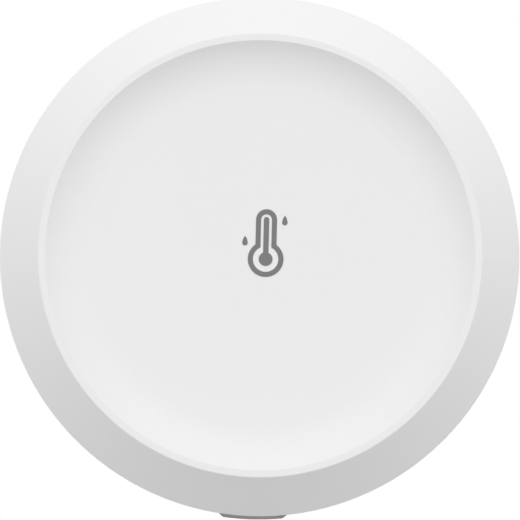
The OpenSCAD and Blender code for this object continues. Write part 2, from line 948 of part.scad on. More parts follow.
// A contact plate at one end of the bay, between two heights across the cells
module contact_plate(side, y1, y2) {
    x1 = side > 0 ? bay_half_l : -bay_half_l - contact_t;
    translate([x1, y1, floor_z - contact_h])
        cube([contact_t, y2 - y1, contact_h]);
}

// The bump that a cell's nub meets, in that cell's frame
module nub_bump() {
    translate([bay_half_l - bump_h, 0, 0])
        rotate([0, 90, 0])
            cylinder(h = bump_h + contact_t / 2, r = bump_r);
}

module contact_positive() {
    color("lightgray")
        stand() {
            contact_plate(-1, cell_y - contact_w / 2, cell_y + contact_w / 2);
            solder_tails([-1], [1], floor_z - past, board_front_z + tail_out, 0);
            at_upper_cell()
                nub_bump();
        }
}

module contact_negative() {
    color("lightgray")
        stand() {
            contact_plate(-1, -cell_y - contact_w / 2, -cell_y + contact_w / 2);
            solder_tails([-1], [-1], floor_z - past, board_front_z + tail_out, 0);
        }
}

module contact_link() {
    color("lightgray")
        stand() {
            contact_plate(1, -cell_y - contact_w / 2, cell_y + contact_w / 2);
            solder_tails([1], [-1, 1], floor_z - past, board_front_z + tail_out, 0);
            at_lower_cell()
                nub_bump();
        }
}

module radio_board() {
    color("navy")
        stand()
            translate([0, radio_y + radio_l / 2, 0])
                block(radio_w, radio_l, board_z - radio_t, board_z);
}

module radio_shield() {
    shield_w = radio_w - 2 * shield_margin;
    rear_z = board_z - radio_t - shield_h;
    color("silver")
        stand()
            translate([0, radio_y + shield_margin + shield_l / 2, 0])
                difference() {
                    block(shield_w, shield_l, rear_z, board_z - radio_t);
                    block(
                        shield_w - 2 * shield_t, shield_l - 2 * shield_t,
                        rear_z + shield_t, board_z - radio_t + past
                    );
                }
}

// A folded track of upright bars, joined in turn at the top and at the bottom
module radio_aerial() {
    pitch = (radio_w - 2 * shield_margin - track_w) / (aerial_bars - 1);
    bar_l = aerial_l - 2 * shield_margin;
    color("goldenrod")
        stand()
            translate([-(aerial_bars - 1) / 2 * pitch, radio_top_y - aerial_l / 2, 0]) {
                for (i = [0:aerial_bars - 1])
                    translate([i * pitch, 0, 0])
                        block(track_w, bar_l, board_z - radio_t - track_t, board_z - radio_t);
                for (i = [0:aerial_bars - 2])
                    translate([(i + 0.5) * pitch, (i % 2 == 0 ? 1 : -1) * (bar_l - track_w) / 2, 0])
                        block(pitch, track_w, board_z - radio_t - track_t, board_z - radio_t);
            }
}

module sensor_chip() {
    color("black")
        stand()
            rotate([0, 0, chip_angle])
                translate([chip_r, 0, 0])
                    block(chip_w, chip_w, board_z - chip_h, board_z);
}

module sensor_membrane() {
    color("white")
        stand()
            translate([chip_at.x, chip_at.y, 0])
                bar(membrane_r, board_z - chip_h - membrane_t, board_z - chip_h);
}

module switch_body() {
    color("dimgray")
        stand()
            difference() {
                translate([0, -switch_r + switch_d / 2, 0])
                    block(switch_w, switch_d, board_z - switch_h, board_z);
                translate([0, 0, plunger_z])
                    through_side(switch_r - plunger_in - key_travel - touch, switch_r + past)
                        square([plunger_w + 2 * plunger_fit, plunger_h + 2 * plunger_fit], center = true);
            }
}

module switch_plunger() {
    color("black")
        stand()
            translate([0, 0, plunger_z])
                through_side(switch_r - plunger_in, plunger_tip_r)
                    square([plunger_w, plunger_h], center = true);
}

// Places of the loose small parts on the rear of the board
light_at = [-switch_w / 2 - light_l - key_round, -switch_r];
crystal_at = [-switch_w / 2 - crystal_l - key_round, -switch_r + switch_d];
memory_at = [switch_w / 2 + key_round + memory_l / 2 + ear_margin, -switch_r + memory_w / 2];
can_at = [screw_x + ear_r + can_d / 2 + 2 * ear_margin, -screw_y - can_d / 2];
part_row_x = radio_w / 2 + chip_part_l / 2 + ear_margin + light_l;
part_row_y = radio_y + shield_l;

// A flat part lying against the rear of the board
module board_part(at, l, w, h) {
    translate([at.x, at.y, 0])
        block(l, w, board_z - h, board_z);
}

module status_light() {
    color("ivory")
        stand()
            board_part(light_at, light_l, light_w, light_h);
}

module crystal() {
    color("silver")
        stand()
            board_part(crystal_at, crystal_l, crystal_w, crystal_h);
}

module memory_chip() {
    color("black")
        stand()
            board_part(memory_at, memory_l, memory_w, memory_h);
}

// A row of small flat parts beside the radio board, on the left or on the right
module part_row(side, h) {
    for (i = [0:chip_part_count - 1])
        board_part([side * part_row_x, part_row_y + i * chip_part_pitch], chip_part_l, chip_part_w, h);
}

module small_capacitors() {
    color("tan")
        stand()
            part_row(-1, capacitor_h);
}

module small_resistors() {
    color("black")
        stand()
            part_row(1, resistor_h);
}

module can_capacitor() {
    color("lightgray")
        stand()
            translate([can_at.x, can_at.y, 0])
                bar(can_d / 2, board_z - foot_h - can_h, board_z - foot_h);
}

module can_capacitor_foot() {
    foot_w = can_d + 2 * foot_margin;
    color("black")
        stand()
            board_part(can_at, foot_w, foot_w, foot_h);
}

// A bead on the spigot that grips the mouth of the case
module grip_bead() {
    bead_z = (case_rear_z + spigot_z) / 2;
    rotate([0, 0, -bead_arc / 2])
        rotate_extrude(angle = bead_arc)
            translate([base_r - bead_r + bead_proud, bead_z])
                circle(bead_r);
}

module base_plate() {
    rib_y = tray_half_w + base_rib_gap;
    color("gainsboro")
        stand()
            difference() {
                union() {
                    bar(base_r, base_rear_z, base_front_z);
                    difference() {
                        bar(base_r, base_rear_z, spigot_z);
                        bar(base_r - spigot_t, base_rear_z - past, spigot_z + past);
                    }
                    for (a = bead_angles)
                        rotate([0, 0, a])
                            grip_bead();
                    for (y = [-1, 1])
                        translate([0, y * rib_y, 0])
                            block(2 * bay_half_l, base_rib_t, base_front_z - sunk, base_front_z + base_rib_h);
                }
                bar(pad_d / 2 + pad_fit, base_rear_z - past, pad_t);
                for (y = [-1, 1])
                    translate([0, y * wall_hole_pitch / 2, 0]) {
                        bar(wall_hole_d / 2, base_rear_z - past, base_front_z + past);
                        translate([0, 0, base_front_z - sink_depth])
                            cylinder(
                                h = sink_depth + past,
                                r1 = wall_hole_d / 2,
                                r2 = wall_hole_d / 2 + sink_depth + past
                            );
                    }
            }
}

module adhesive_pad() {
    color("lightgray")
        stand()
            bar(pad_d / 2, 0, pad_t);
}

front_case();
printed_pictogram();
pairing_key();
filter_left();
filter_right();
circuit_board();
battery_tray();
tray_screws();
cell_upper();
cell_upper_sleeve();
cell_lower();
cell_lower_sleeve();
spring_left();
spring_right();
contact_positive();
contact_negative();
contact_link();
radio_board();
radio_shield();
radio_aerial();
sensor_chip();
sensor_membrane();
switch_body();
switch_plunger();
status_light();
crystal();
memory_chip();
small_capacitors();
small_resistors();
can_capacitor();
can_capacitor_foot();
base_plate();
adhesive_pad();
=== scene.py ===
"""Looks of a round wall sensor for temperature and humidity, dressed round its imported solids."""

import math

import bmesh
import bpy
from bpy.props import FloatProperty, FloatVectorProperty, IntProperty, PointerProperty
from mathutils import Matrix, Vector


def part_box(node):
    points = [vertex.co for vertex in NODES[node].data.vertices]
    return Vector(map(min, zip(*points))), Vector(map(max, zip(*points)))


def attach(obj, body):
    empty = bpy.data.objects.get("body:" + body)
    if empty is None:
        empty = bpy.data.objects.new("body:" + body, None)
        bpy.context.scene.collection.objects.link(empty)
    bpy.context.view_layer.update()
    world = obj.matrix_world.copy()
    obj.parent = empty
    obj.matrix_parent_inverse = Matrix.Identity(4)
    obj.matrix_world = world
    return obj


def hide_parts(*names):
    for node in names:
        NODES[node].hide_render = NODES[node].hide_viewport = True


bl_info = {
    "name": "Round climate sensor looks",
    "version": (1, 0, 0),
    "blender": (4, 5, 0),
    "location": "View3D > Sidebar > Sensor",
    "description": "Finishes, fine pieces and studio of a round temperature and humidity sensor",
    "category": "Object",
}

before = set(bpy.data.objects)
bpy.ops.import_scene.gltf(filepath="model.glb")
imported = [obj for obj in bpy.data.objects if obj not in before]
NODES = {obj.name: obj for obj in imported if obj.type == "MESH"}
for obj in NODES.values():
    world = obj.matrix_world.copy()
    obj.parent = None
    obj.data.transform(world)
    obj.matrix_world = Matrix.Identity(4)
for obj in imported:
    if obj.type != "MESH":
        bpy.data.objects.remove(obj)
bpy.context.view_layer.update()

# Edges that turn by less than this are shaded smooth
SHARP = math.radians(32)
# Single parts in a row of small capacitors or resistors, and the width of one
ROW_COUNT, ROW_PART_W = 3, 0.0008
# Edge pads on a side of the radio board, the height of the first above the board's end, and their pitch
RADIO_PADS, RADIO_PAD_FIRST, RADIO_PAD_PITCH = 7, 0.0015, 0.0013
# Sheet thickness of a battery contact
CONTACT_SHEET = 0.0003


# Values that a user would change

def shade(label, words, value):
    """A colour property, written as it should show in plain light."""
    return FloatVectorProperty(name=label, description=words, subtype="COLOR", size=3, min=0, max=1,
                               default=value)


def length(label, words, value):
    """A length property in metres."""
    return FloatProperty(name=label, description=words, unit="LENGTH", subtype="DISTANCE", precision=5,
                         default=value)


def point(label, words, value):
    """A place in the shared frame, in metres."""
    return FloatVectorProperty(name=label, description=words, unit="LENGTH", subtype="TRANSLATION",
                               default=value)


def angle(label, words, degrees):
    """An angle property."""
    return FloatProperty(name=label, description=words, unit="ROTATION", subtype="ANGLE",
                         default=math.radians(degrees))


def share(label, words, value):
    """A plain factor."""
    return FloatProperty(name=label, description=words, subtype="FACTOR", min=0, soft_max=1, default=value)


class SensorStage(bpy.types.PropertyGroup):
    """Camera, light and floor"""

    azimuth: angle("Azimuth", "Turn of the camera to the right of straight ahead", -0.589)
    elevation: angle("Elevation", "Height of the camera above the horizon", -2.011)
    roll: angle("Roll", "Turn of the camera about its own line of sight", 1.4)
    distance: length("Distance", "From the camera to the point that it looks at", 1.2)
    target: point("Target", "Point that the camera looks at", (0.0000386, -0.01625, -0.000443))
    lens: FloatProperty(name="Lens", description="Focal length on a 36 mm sensor", default=663.83)
    floor_z: length("Floor", "Height of the floor", -0.06)
    floor_reach: length("Floor reach", "From the middle of the floor to its edge", 1.5)
    floor_color: shade("Floor colour", "Colour of the plain floor", (0.78, 0.78, 0.78))
    ambient: share("Ambient", "Light that comes from every side", 0.703)
    front_gain: share("Front light", "How much brighter the studio is in front than at the sides", 0.56)
    top_gain: share("Top light", "How much brighter the studio is above than at the sides", 0.446)
    rear_fill: FloatProperty(name="Rear fill", description="Power of the soft lamp behind the sensor",
                             unit="POWER", default=3.0)
    rear_size: length("Rear lamp", "Side of the soft lamp behind the sensor", 0.5)
    rear_place: point("Rear lamp place", "Where the soft lamp behind the sensor hangs", (0, 0.6, 0.04))


class SensorPlastics(bpy.types.PropertyGroup):
    """Moulded plastics, ink and foam"""

    case_color: shade("Case", "Satin white of the front case", (0.826, 0.826, 0.826))
    # Painted shade: the key's grey is darker than the case's white, to stand in for the shade that falls on
    # the key under the case's rim
    key_grey_painted_shade: shade("Key", "Light grey of the pairing key", (0.40, 0.40, 0.40))
    base_color: shade("Wall base", "White of the wall base", (0.78, 0.78, 0.77))
    tray_color: shade("Battery tray", "Natural white of the battery tray", (0.70, 0.70, 0.685))
    ink_color: shade("Pictogram ink", "Grey of the printed pictogram", (0.195, 0.195, 0.195))
    foam_color: shade("Adhesive foam", "Grey white of the adhesive pad", (0.70, 0.70, 0.685))
    filter_color: shade("Dust filter", "Dark grey of the filter mesh", (0.030, 0.030, 0.032))
    grain: FloatProperty(name="Grain", description="Marks per metre in the mould's spark grain", default=7000)
    grain_depth: length("Grain depth", "Depth of the spark grain", 0.000006)
    foam_pinch: length("Foam pinch", "How far the cut edge of the adhesive pad draws in", 0.00024)


class SensorMetals(bpy.types.PropertyGroup):
    """Plated and rolled metals"""

    nickel: shade("Nickel", "Contacts and springs", (0.62, 0.60, 0.56))
    zinc: shade("Zinc", "Tray screws", (0.50, 0.52, 0.54))
    tin: shade("Tin", "Shield can, leads and solder", (0.66, 0.67, 0.68))
    steel: shade("Cell steel", "Ends of the cells", (0.58, 0.58, 0.57))
    aluminium: shade("Aluminium", "Can capacitor", (0.72, 0.72, 0.73))
    gold: shade("Gold", "Aerial track, edge pads and test pads", (0.80, 0.52, 0.20))
    wire: length("Spring wire", "Diameter of the spring wire", 0.00045)
    wire_turns: IntProperty(name="Spring turns", description="Turns of a battery spring", min=1, default=3)
    wide_end: length("Wide end", "Radius of a spring at its plate", 0.003)
    narrow_end: length("Narrow end", "Radius of a spring at its cell", 0.0019)


class SensorBoards(bpy.types.PropertyGroup):
    """Circuit boards and the parts on them"""

    mask_green: shade("Main mask", "Solder mask of the main board", (0.012, 0.105, 0.042))
    mask_blue: shade("Radio mask", "Solder mask of the radio board", (0.010, 0.035, 0.125))
    laminate: shade("Laminate", "Cut edge of a board", (0.42, 0.37, 0.20))
    legend: shade("Legend", "Ink of the frames printed round the parts", (0.72, 0.72, 0.70))
    epoxy: shade("Epoxy", "Black moulding of the chips", (0.018, 0.018, 0.019))
    ceramic: shade("Ceramic", "Body of the small capacitors", (0.36, 0.22, 0.10))
    lens_color: shade("Light lens", "Milky lens of the status light", (0.74, 0.70, 0.46))
    membrane: shade("Membrane", "Breathing membrane of the sensor", (0.80, 0.80, 0.79))
    track: length("Track", "Width of a copper track", 0.00026)
    track_rise: length("Track rise", "How far a track lifts the mask", 0.00004)
    hole_reach: length("Hole reach", "From a small part across and down to its plated hole", 0.003)
    legend_line: length("Legend line", "Width of a printed line", 0.00014)
    legend_gap: length("Legend gap", "From a part to the outside of its printed frame", 0.0002)
    legend_rise: length("Legend rise", "Thickness of the printed ink", 0.00005)
    pad_r: length("Test pad", "Radius of a test pad", 0.0005)
    pad_pitch: length("Test pad pitch", "Distance between test pads", 0.0013)
    pad_count: IntProperty(name="Test pads", description="Number of test pads in the row", min=3, default=5)


class SensorCells(bpy.types.PropertyGroup):
    """The two cells"""

    film: shade("Film", "Main colour of the printed sleeve", (0.028, 0.150, 0.095))
    band: shade("Band", "Pale band at the plus end of the sleeve", (0.62, 0.63, 0.60))
    band_l: length("Band length", "Length of the pale band", 0.0075)
    washer: shade("Washer", "Insulating ring round the nub", (0.05, 0.05, 0.05))
    washer_in: length("Washer hole", "Inner radius of the washer", 0.00214)
    washer_out: length("Washer rim", "Outer radius of the washer", 0.0040)
    nub: length("Nub", "Height of the plus nub", 0.0009)


# Node trees

def feed(tree, socket, value):
    """Gives a socket a link or a value; a colour of three numbers becomes opaque."""
    if isinstance(value, bpy.types.NodeSocket):
        tree.links.new(value, socket)
    else:
        socket.default_value = (*value, 1) if socket.type == "RGBA" else value


def add(tree, kind, sockets=None, **settings):
    """A node with its settings, and values or links for its sockets."""
    made = tree.nodes.new(kind)
    for name, value in settings.items():
        setattr(made, name, value)
    for name, value in (sockets or {}).items():
        feed(tree, made.inputs[name], value)
    return made


def calc(tree, operation, *values, clamp=False):
    """A sum on values or sockets; its result."""
    made = add(tree, "ShaderNodeMath", dict(enumerate(values)), operation=operation, use_clamp=clamp)
    return made.outputs[0]


def ramp(tree, value, given, wanted=(0, 1)):
    """A smooth step of a value from one range to another; its result."""
    made = add(tree, "ShaderNodeMapRange", {
        "Value": value, "From Min": given[0], "From Max": given[1], "To Min": wanted[0], "To Max": wanted[1],
    }, interpolation_type="SMOOTHSTEP")
    return made.outputs["Result"]


def scaled(tree, color, factor):
    """A colour times a value."""
    return add(tree, "ShaderNodeVectorMath", {0: color, "Scale": factor}, operation="SCALE").outputs[0]


def mixed(tree, mask, a, b):
    """Colour a where the mask is 0 and b where it is 1."""
    return add(tree, "ShaderNodeMix", {"Factor": mask, 6: a, 7: b}, data_type="RGBA").outputs[2]


def noise(tree, place, scale, detail=2):
    """A noise value at a place."""
    made = add(tree, "ShaderNodeTexNoise", {
        "Vector": place, "Scale": scale, "Detail": detail, "Roughness": 0.55})
    return made.outputs[0]


def agreed(tree, a, b):
    """How far two directions agree."""
    return add(tree, "ShaderNodeVectorMath", {0: a, 1: b}, operation="DOT_PRODUCT").outputs["Value"]


def stretched(tree, place, factors, turn=(0, 0, 0)):
    """A place with its axes turned and stretched."""
    return add(tree, "ShaderNodeMapping", {"Vector": place, "Scale": factors, "Rotation": turn}).outputs[0]


def own_place(tree):
    """Where a point lies on its own object."""
    return add(tree, "ShaderNodeTexCoord").outputs["Object"]


def axes(tree, place, wanted):
    """The wanted ones of a place's X, Y and Z."""
    made = add(tree, "ShaderNodeSeparateXYZ", {0: place})
    return [made.outputs[letter] for letter in wanted]


COLOR, VALUE, VECTOR = "NodeSocketColor", "NodeSocketFloat", "NodeSocketVector"
SKIN = {"Color": COLOR, "Roughness": VALUE, "Height": VALUE}


def node_group(name, takes, gives, wire):
    """A shader node group, built once; wire makes its nodes and returns what it gives."""
    if name in bpy.data.node_groups:
        return bpy.data.node_groups[name]
    group = bpy.data.node_groups.new(name, "ShaderNodeTree")
    for label, kind in takes.items():
        group.interface.new_socket(name=label, in_out="INPUT", socket_type=kind)
    for label, kind in gives.items():
        group.interface.new_socket(name=label, in_out="OUTPUT", socket_type=kind)
    start = add(group, "NodeGroupInput")
    add(group, "NodeGroupOutput", wire(group, start.outputs))
    return group


def use_group(tree, group, values):
    """A node group placed in a material with its own values; its outputs."""
    return add(tree, "ShaderNodeGroup", values, node_tree=group).outputs


def moulded_grain():
    """Fine spark grain of a mould, with slow drift of tone and gloss."""
    def wire(tree, given):
        place = own_place(tree)
        fine = noise(tree, place, scale=given["Grain"], detail=3)
        slow = noise(tree, place, scale=90, detail=3)
        drift = calc(tree, "SUBTRACT", calc(tree, "ADD", fine, slow), 1)
        tone = calc(tree, "MULTIPLY_ADD", drift, given["Tone Drift"], 1)
        gloss = calc(tree, "MULTIPLY_ADD", drift, given["Gloss Drift"], given["Roughness"], clamp=True)
        return {"Color": scaled(tree, given["Color"], tone), "Roughness": gloss, "Height": fine}
    takes = {"Color": COLOR, "Roughness": VALUE, "Grain": VALUE, "Tone Drift": VALUE, "Gloss Drift": VALUE}
    return node_group("moulded_grain", takes, SKIN, wire)


def rubbed_edges():
    """Mask of the edges that handling rubs, broken up by noise."""
    def wire(tree, given):
        soft = add(tree, "ShaderNodeBevel", {"Radius": given["Radius"]}, samples=4).outputs[0]
        flat = add(tree, "ShaderNodeNewGeometry").outputs["Normal"]
        edge = calc(tree, "SUBTRACT", 1, agreed(tree, soft, flat))
        broken = ramp(tree, noise(tree, own_place(tree), scale=900, detail=4), (0.35, 0.65), (0.4, 1))
        worn = calc(tree, "MULTIPLY", edge, broken)
        return {"Mask": calc(tree, "MULTIPLY", worn, given["Strength"], clamp=True)}
    return node_group("rubbed_edges", {"Radius": VALUE, "Strength": VALUE}, {"Mask": VALUE}, wire)


def rolled_metal():
    """Long fine marks of rolled or drawn metal, with faint staining."""
    def wire(tree, given):
        place = own_place(tree)
        along = add(tree, "ShaderNodeVectorMath", {0: place, 1: given["Stretch"]}, operation="MULTIPLY")
        lines = noise(tree, along.outputs[0], scale=1, detail=3)
        stain = noise(tree, place, scale=500, detail=4)
        tone = calc(tree, "MULTIPLY_ADD", lines, 0.22, ramp(tree, stain, (0.3, 0.7), (0.78, 0.94)))
        marked = calc(tree, "MULTIPLY_ADD", lines, 0.25, given["Roughness"])
        gloss = calc(tree, "MULTIPLY_ADD", stain, 0.12, marked, clamp=True)
        return {"Color": scaled(tree, given["Color"], tone), "Roughness": gloss, "Height": lines}
    return node_group("rolled_metal", {"Color": COLOR, "Roughness": VALUE, "Stretch": VECTOR}, SKIN, wire)


def laid_mask():
    """Solder mask over glass weave, with the bare laminate on the cut edge."""
    def wire(tree, given):
        place = own_place(tree)
        weave_rate = 14000
        threads = [calc(tree, "SINE", calc(tree, "MULTIPLY", a, weave_rate)) for a in axes(tree, place, "XZ")]
        weave = calc(tree, "MULTIPLY", *threads)
        cloud = noise(tree, place, scale=260, detail=3)
        level = calc(tree, "MULTIPLY_ADD", weave, 0.06, ramp(tree, cloud, (0.3, 0.7), (0.9, 1.12)))
        facing = axes(tree, add(tree, "ShaderNodeNewGeometry").outputs["Normal"], "Y")[0]
        cut = ramp(tree, calc(tree, "ABSOLUTE", facing), (0.35, 0.65), (1, 0))
        fibre = noise(tree, stretched(tree, place, (900, 16000, 900)), scale=1)
        bare = scaled(tree, given["Laminate"], ramp(tree, fibre, (0.3, 0.7), (0.75, 1.1)))
        gloss = ramp(tree, cloud, (0.3, 0.7), (0.26, 0.40))
        return {
            "Color": mixed(tree, cut, scaled(tree, given["Mask"], level), bare),
            "Roughness": calc(tree, "MULTIPLY_ADD", cut, 0.35, gloss),
            "Height": weave,
        }
    return node_group("laid_mask", {"Mask": COLOR, "Laminate": COLOR}, SKIN, wire)


# Finishes

def blank_finish(name, settings):
    """A material with a Principled shader whose constant sockets are set."""
    finish = bpy.data.materials.new(name)
    finish.use_nodes = True
    tree = finish.node_tree
    shader = tree.nodes["Principled BSDF"]
    for label, value in settings.items():
        feed(tree, shader.inputs[label], value)
    return finish, tree, shader


def lay_on(tree, shader, color, rough, height, depth):
    """Gives a shader its varying colour and roughness, and bump of a real depth."""
    bump = add(tree, "ShaderNodeBump", {"Strength": 1, "Distance": depth, "Height": height})
    for label, socket in (("Base Color", color), ("Roughness", rough), ("Normal", bump.outputs[0])):
        tree.links.new(socket, shader.inputs[label])


def grained(tree, color, rough, grain, tone, gloss):
    """The moulded grain placed in a material with its own values; its outputs."""
    return use_group(tree, moulded_grain(), {
        "Color": color, "Roughness": rough, "Grain": grain, "Tone Drift": tone, "Gloss Drift": gloss})


def plastic_finish(name, color, rough, grain=None, depth=None, tone=0.02, gloss=0.12, rub=0.12,
                   specular=0.5):
    """Moulded plastic, in the mould's own grain unless another is given, with rubbed edges."""
    mould = bpy.context.scene.sensor_plastics
    finish, tree, shader = blank_finish(name, {"Specular IOR Level": specular})
    skin = grained(tree, color, rough, grain or mould.grain, tone, gloss)
    worn = use_group(tree, rubbed_edges(), {"Radius": 0.0002, "Strength": 1})["Mask"]
    polished = calc(tree, "MULTIPLY_ADD", worn, -rub, skin["Roughness"], clamp=True)
    lay_on(tree, shader, skin["Color"], polished, skin["Height"], depth or mould.grain_depth)
    return finish


def metal_finish(name, color, rough, stretch):
    """Bare or plated metal: rolling marks, faint stains, brighter rubbed edges."""
    finish, tree, shader = blank_finish(name, {"Metallic": 1})
    skin = use_group(tree, rolled_metal(), {"Color": color, "Roughness": rough, "Stretch": stretch})
    worn = use_group(tree, rubbed_edges(), {"Radius": 0.00012, "Strength": 0.5})["Mask"]
    rubbed_gain = 1.25
    bright = [min(1, c * rubbed_gain) for c in color]
    tint = mixed(tree, worn, skin["Color"], bright)
    lay_on(tree, shader, tint, skin["Roughness"], skin["Height"], depth=0.000003)
    return finish


def board_finish(name, mask, laminate):
    """Solder mask with its weave and cut edge."""
    finish, tree, shader = blank_finish(name, {"Specular IOR Level": 0.45})
    skin = use_group(tree, laid_mask(), {"Mask": mask, "Laminate": laminate})
    lay_on(tree, shader, skin["Color"], skin["Roughness"], skin["Height"], depth=0.000004)
    return finish


def filter_finish(name, color, turn):
    """Woven dust mesh, turned square to its strip."""
    finish, tree, shader = blank_finish(name, {"Specular IOR Level": 0.25})
    place = own_place(tree)
    square = stretched(tree, place, (1, 1, 1), turn=(0, turn, 0))
    thread_rate = 9000
    waves = [calc(tree, "SINE", calc(tree, "MULTIPLY", a, thread_rate)) for a in axes(tree, square, "XY")]
    threads = calc(tree, "MAXIMUM", *(calc(tree, "ABSOLUTE", wave) for wave in waves))
    uneven = ramp(tree, noise(tree, place, scale=700, detail=3), (0.3, 0.7), (0.7, 1.2))
    level = calc(tree, "MULTIPLY", ramp(tree, threads, (0.35, 0.95), (0.25, 1.6)), uneven)
    rough = ramp(tree, threads, (0.2, 0.9), (0.9, 0.6))
    lay_on(tree, shader, scaled(tree, color, level), rough, threads, depth=0.00008)
    return finish


def foam_finish(name, color):
    """Closed foam with a tacky skin: fine cells and slow stains."""
    finish, tree, shader = blank_finish(name, {"Specular IOR Level": 0.3})
    cells_per_m = 4200
    pits = add(tree, "ShaderNodeTexVoronoi", {"Vector": own_place(tree), "Scale": cells_per_m})
    cells = pits.outputs["Distance"]
    skin = grained(tree, color, rough=0.55, grain=2600, tone=0.12, gloss=0.35)
    pitted = scaled(tree, skin["Color"], ramp(tree, cells, (0.1, 0.7), (0.82, 1.04)))
    lay_on(tree, shader, pitted, skin["Roughness"], cells, depth=0.00002)
    return finish


def film_finish(name, color, band, band_l, flat_x, nub_x):
    """Printed shrink film: plain colour, a pale band at the plus end and two fine rings."""
    finish, tree, shader = blank_finish(name, {"Specular IOR Level": 0.5, "Coat Roughness": 0.12})
    x = axes(tree, own_place(tree), "X")[0]
    along = calc(tree, "DIVIDE", calc(tree, "SUBTRACT", x, flat_x), nub_x - flat_x)
    band_from = 1 - band_l / abs(nub_x - flat_x)
    # Each ring's place along the sleeve and half its width
    rings = ((band_from - 0.035, 0.006), (0.06, 0.02))
    lines = calc(tree, "MAXIMUM", *(calc(tree, "COMPARE", along, place, half) for place, half in rings))
    pale = calc(tree, "MAXIMUM", ramp(tree, along, (band_from, band_from + 0.004)), lines)
    skin = grained(tree, color, rough=0.24, grain=1500, tone=0.10, gloss=0.18)
    tree.links.new(ramp(tree, skin["Height"], (0.2, 0.8), (0.25, 0.45)), shader.inputs["Coat Weight"])
    tint = mixed(tree, pale, skin["Color"], band)
    lay_on(tree, shader, tint, skin["Roughness"], skin["Height"], depth=0.000012)
    return finish


def can_finish(name, color, mark_x, mark_y):
    """Drawn aluminium with a dark mark on its top, beyond a line."""
    finish, tree, shader = blank_finish(name, {"Metallic": 1})
    skin = use_group(tree, rolled_metal(), {"Color": color, "Roughness": 0.24, "Stretch": (900, 9000, 900)})
    x, y = axes(tree, own_place(tree), "XY")
    beyond = [calc(tree, "GREATER_THAN", value, least) for value, least in ((x, mark_x), (y, mark_y))]
    tint = mixed(tree, calc(tree, "MULTIPLY", *beyond), skin["Color"], (0.02, 0.02, 0.02))
    lay_on(tree, shader, tint, skin["Roughness"], skin["Height"], depth=0.000003)
    return finish


# Meshes

def faces_between(bm, rings, closed=True):
    """Joins rings of points by faces; a ring of one point is a tip."""
    for first, second in zip(rings, rings[1:]):
        count = max(len(first), len(second))
        for k in range(count if closed else count - 1):
            corners = [first[k % len(first)], first[(k + 1) % len(first)],
                       second[(k + 1) % len(second)], second[k % len(second)]]
            unique = list(dict.fromkeys(corners))
            if len(unique) > 2:
                bm.faces.new(unique)


def circle_points(bm, centre, side, other, radius, steps):
    """Points of a circle that two unit vectors span."""
    turns = (math.tau * k / steps for k in range(steps))
    return [bm.verts.new(centre + radius * (math.cos(a) * side + math.sin(a) * other)) for a in turns]


def block_into(bm, low, high, rounding, steps=2):
    """A block between two corners with its edges rounded."""
    low, high = Vector(low), Vector(high)
    size = high - low
    place = Matrix.Translation((low + high) / 2) @ Matrix.Diagonal((*size, 1))
    made = bmesh.ops.create_cube(bm, size=1, matrix=place)
    edges = list({edge for vert in made["verts"] for edge in vert.link_edges})
    bmesh.ops.bevel(bm, geom=edges, offset=min(rounding, 0.45 * min(size)), segments=steps, profile=0.5,
                    affect="EDGES", clamp_overlap=True)


def turned_into(bm, profile, centre, axis, steps):
    """A turned form: (radius, distance along the axis) pairs round an axis through a centre."""
    axis = Vector(axis)
    side = axis.orthogonal().normalized()
    other = axis.cross(side)
    rings = []
    for radius, along in profile:
        heart = Vector(centre) + axis * along
        if radius > 0:
            rings.append(circle_points(bm, heart, side, other, radius, steps))
        else:
            rings.append([bm.verts.new(heart)])
    faces_between(bm, rings)


def ring_profile(inner, outer, low, high, edge):
    """Section of a flat ring with broken corners."""
    return [(inner + edge, low), (outer - edge, low), (outer, low + edge), (outer, high - edge),
            (outer - edge, high), (inner + edge, high), (inner, high - edge), (inner, low + edge),
            (inner + edge, low)]


def dome_profile(radius, height, sink):
    """Section of a low dome whose foot is sunk into what carries it."""
    turns = [math.radians(15 * k) for k in range(6)]
    crown = [(radius * math.cos(a), height * math.sin(a)) for a in turns]
    return [(0, -sink), (radius, -sink), *crown, (0, height)]


def wire_into(bm, points, radius, sides=12):
    """A round wire along points, with domed ends."""
    last = len(points) - 1
    ways = [(points[min(i + 1, last)] - points[max(i - 1, 0)]).normalized() for i in range(last + 1)]
    # Distance from the end and radius of each ring of a dome
    dome = [(radius * (1 - math.sin(a)), radius * math.cos(a)) for a in map(math.radians, (75, 50, 25))]
    stations = [(points[0] + ways[0] * along, ways[0], size) for along, size in dome]
    stations += [(point, way, radius) for point, way in zip(points[1:-1], ways[1:-1])]
    stations += [(points[-1] - ways[-1] * along, ways[-1], size) for along, size in reversed(dome)]
    normal = ways[0].orthogonal().normalized()
    rings = []
    for centre, way, size in stations:
        normal = (normal - way * normal.dot(way)).normalized()
        rings.append(circle_points(bm, centre, normal, way.cross(normal), size, sides))
    faces_between(bm, rings)
    bm.faces.new(list(reversed(rings[0])))
    bm.faces.new(rings[-1])


def bent(start, end):
    """Points (x, z) of a track from start to end: a slope of 45 degrees, then straight on."""
    way = end - start
    slope = min(abs(way.x), abs(way.y))
    corner = start + Vector((math.copysign(slope, way.x), math.copysign(slope, way.y)))
    least = 1e-5
    plain = (corner - start).length < least or (end - corner).length < least
    return [start, end] if plain else [start, corner, end]


def track_into(bm, points, width, rear, rise):
    """A raised track on the rear of the board, mitred at its bends."""
    ways = [(after - before).normalized() for before, after in zip(points, points[1:])]
    left, right = [], []
    for point, before, after in zip(points, ways[:1] + ways, ways + ways[-1:]):
        along = (before + after).normalized()
        reach = Vector((-along.y, along.x)) * width / 2 / along.dot(after)
        left.append(point + reach)
        right.append(point - reach)
    foot = rear - rise / 4
    corners = ((left, foot), (left, rear + rise), (right, rear + rise), (right, foot))
    rings = [[bm.verts.new((p.x, y, p.y)) for p in side] for side, y in corners]
    faces_between(bm, rings + rings[:1], closed=False)
    for end in (0, -1):
        bm.faces.new([ring[end] for ring in rings])


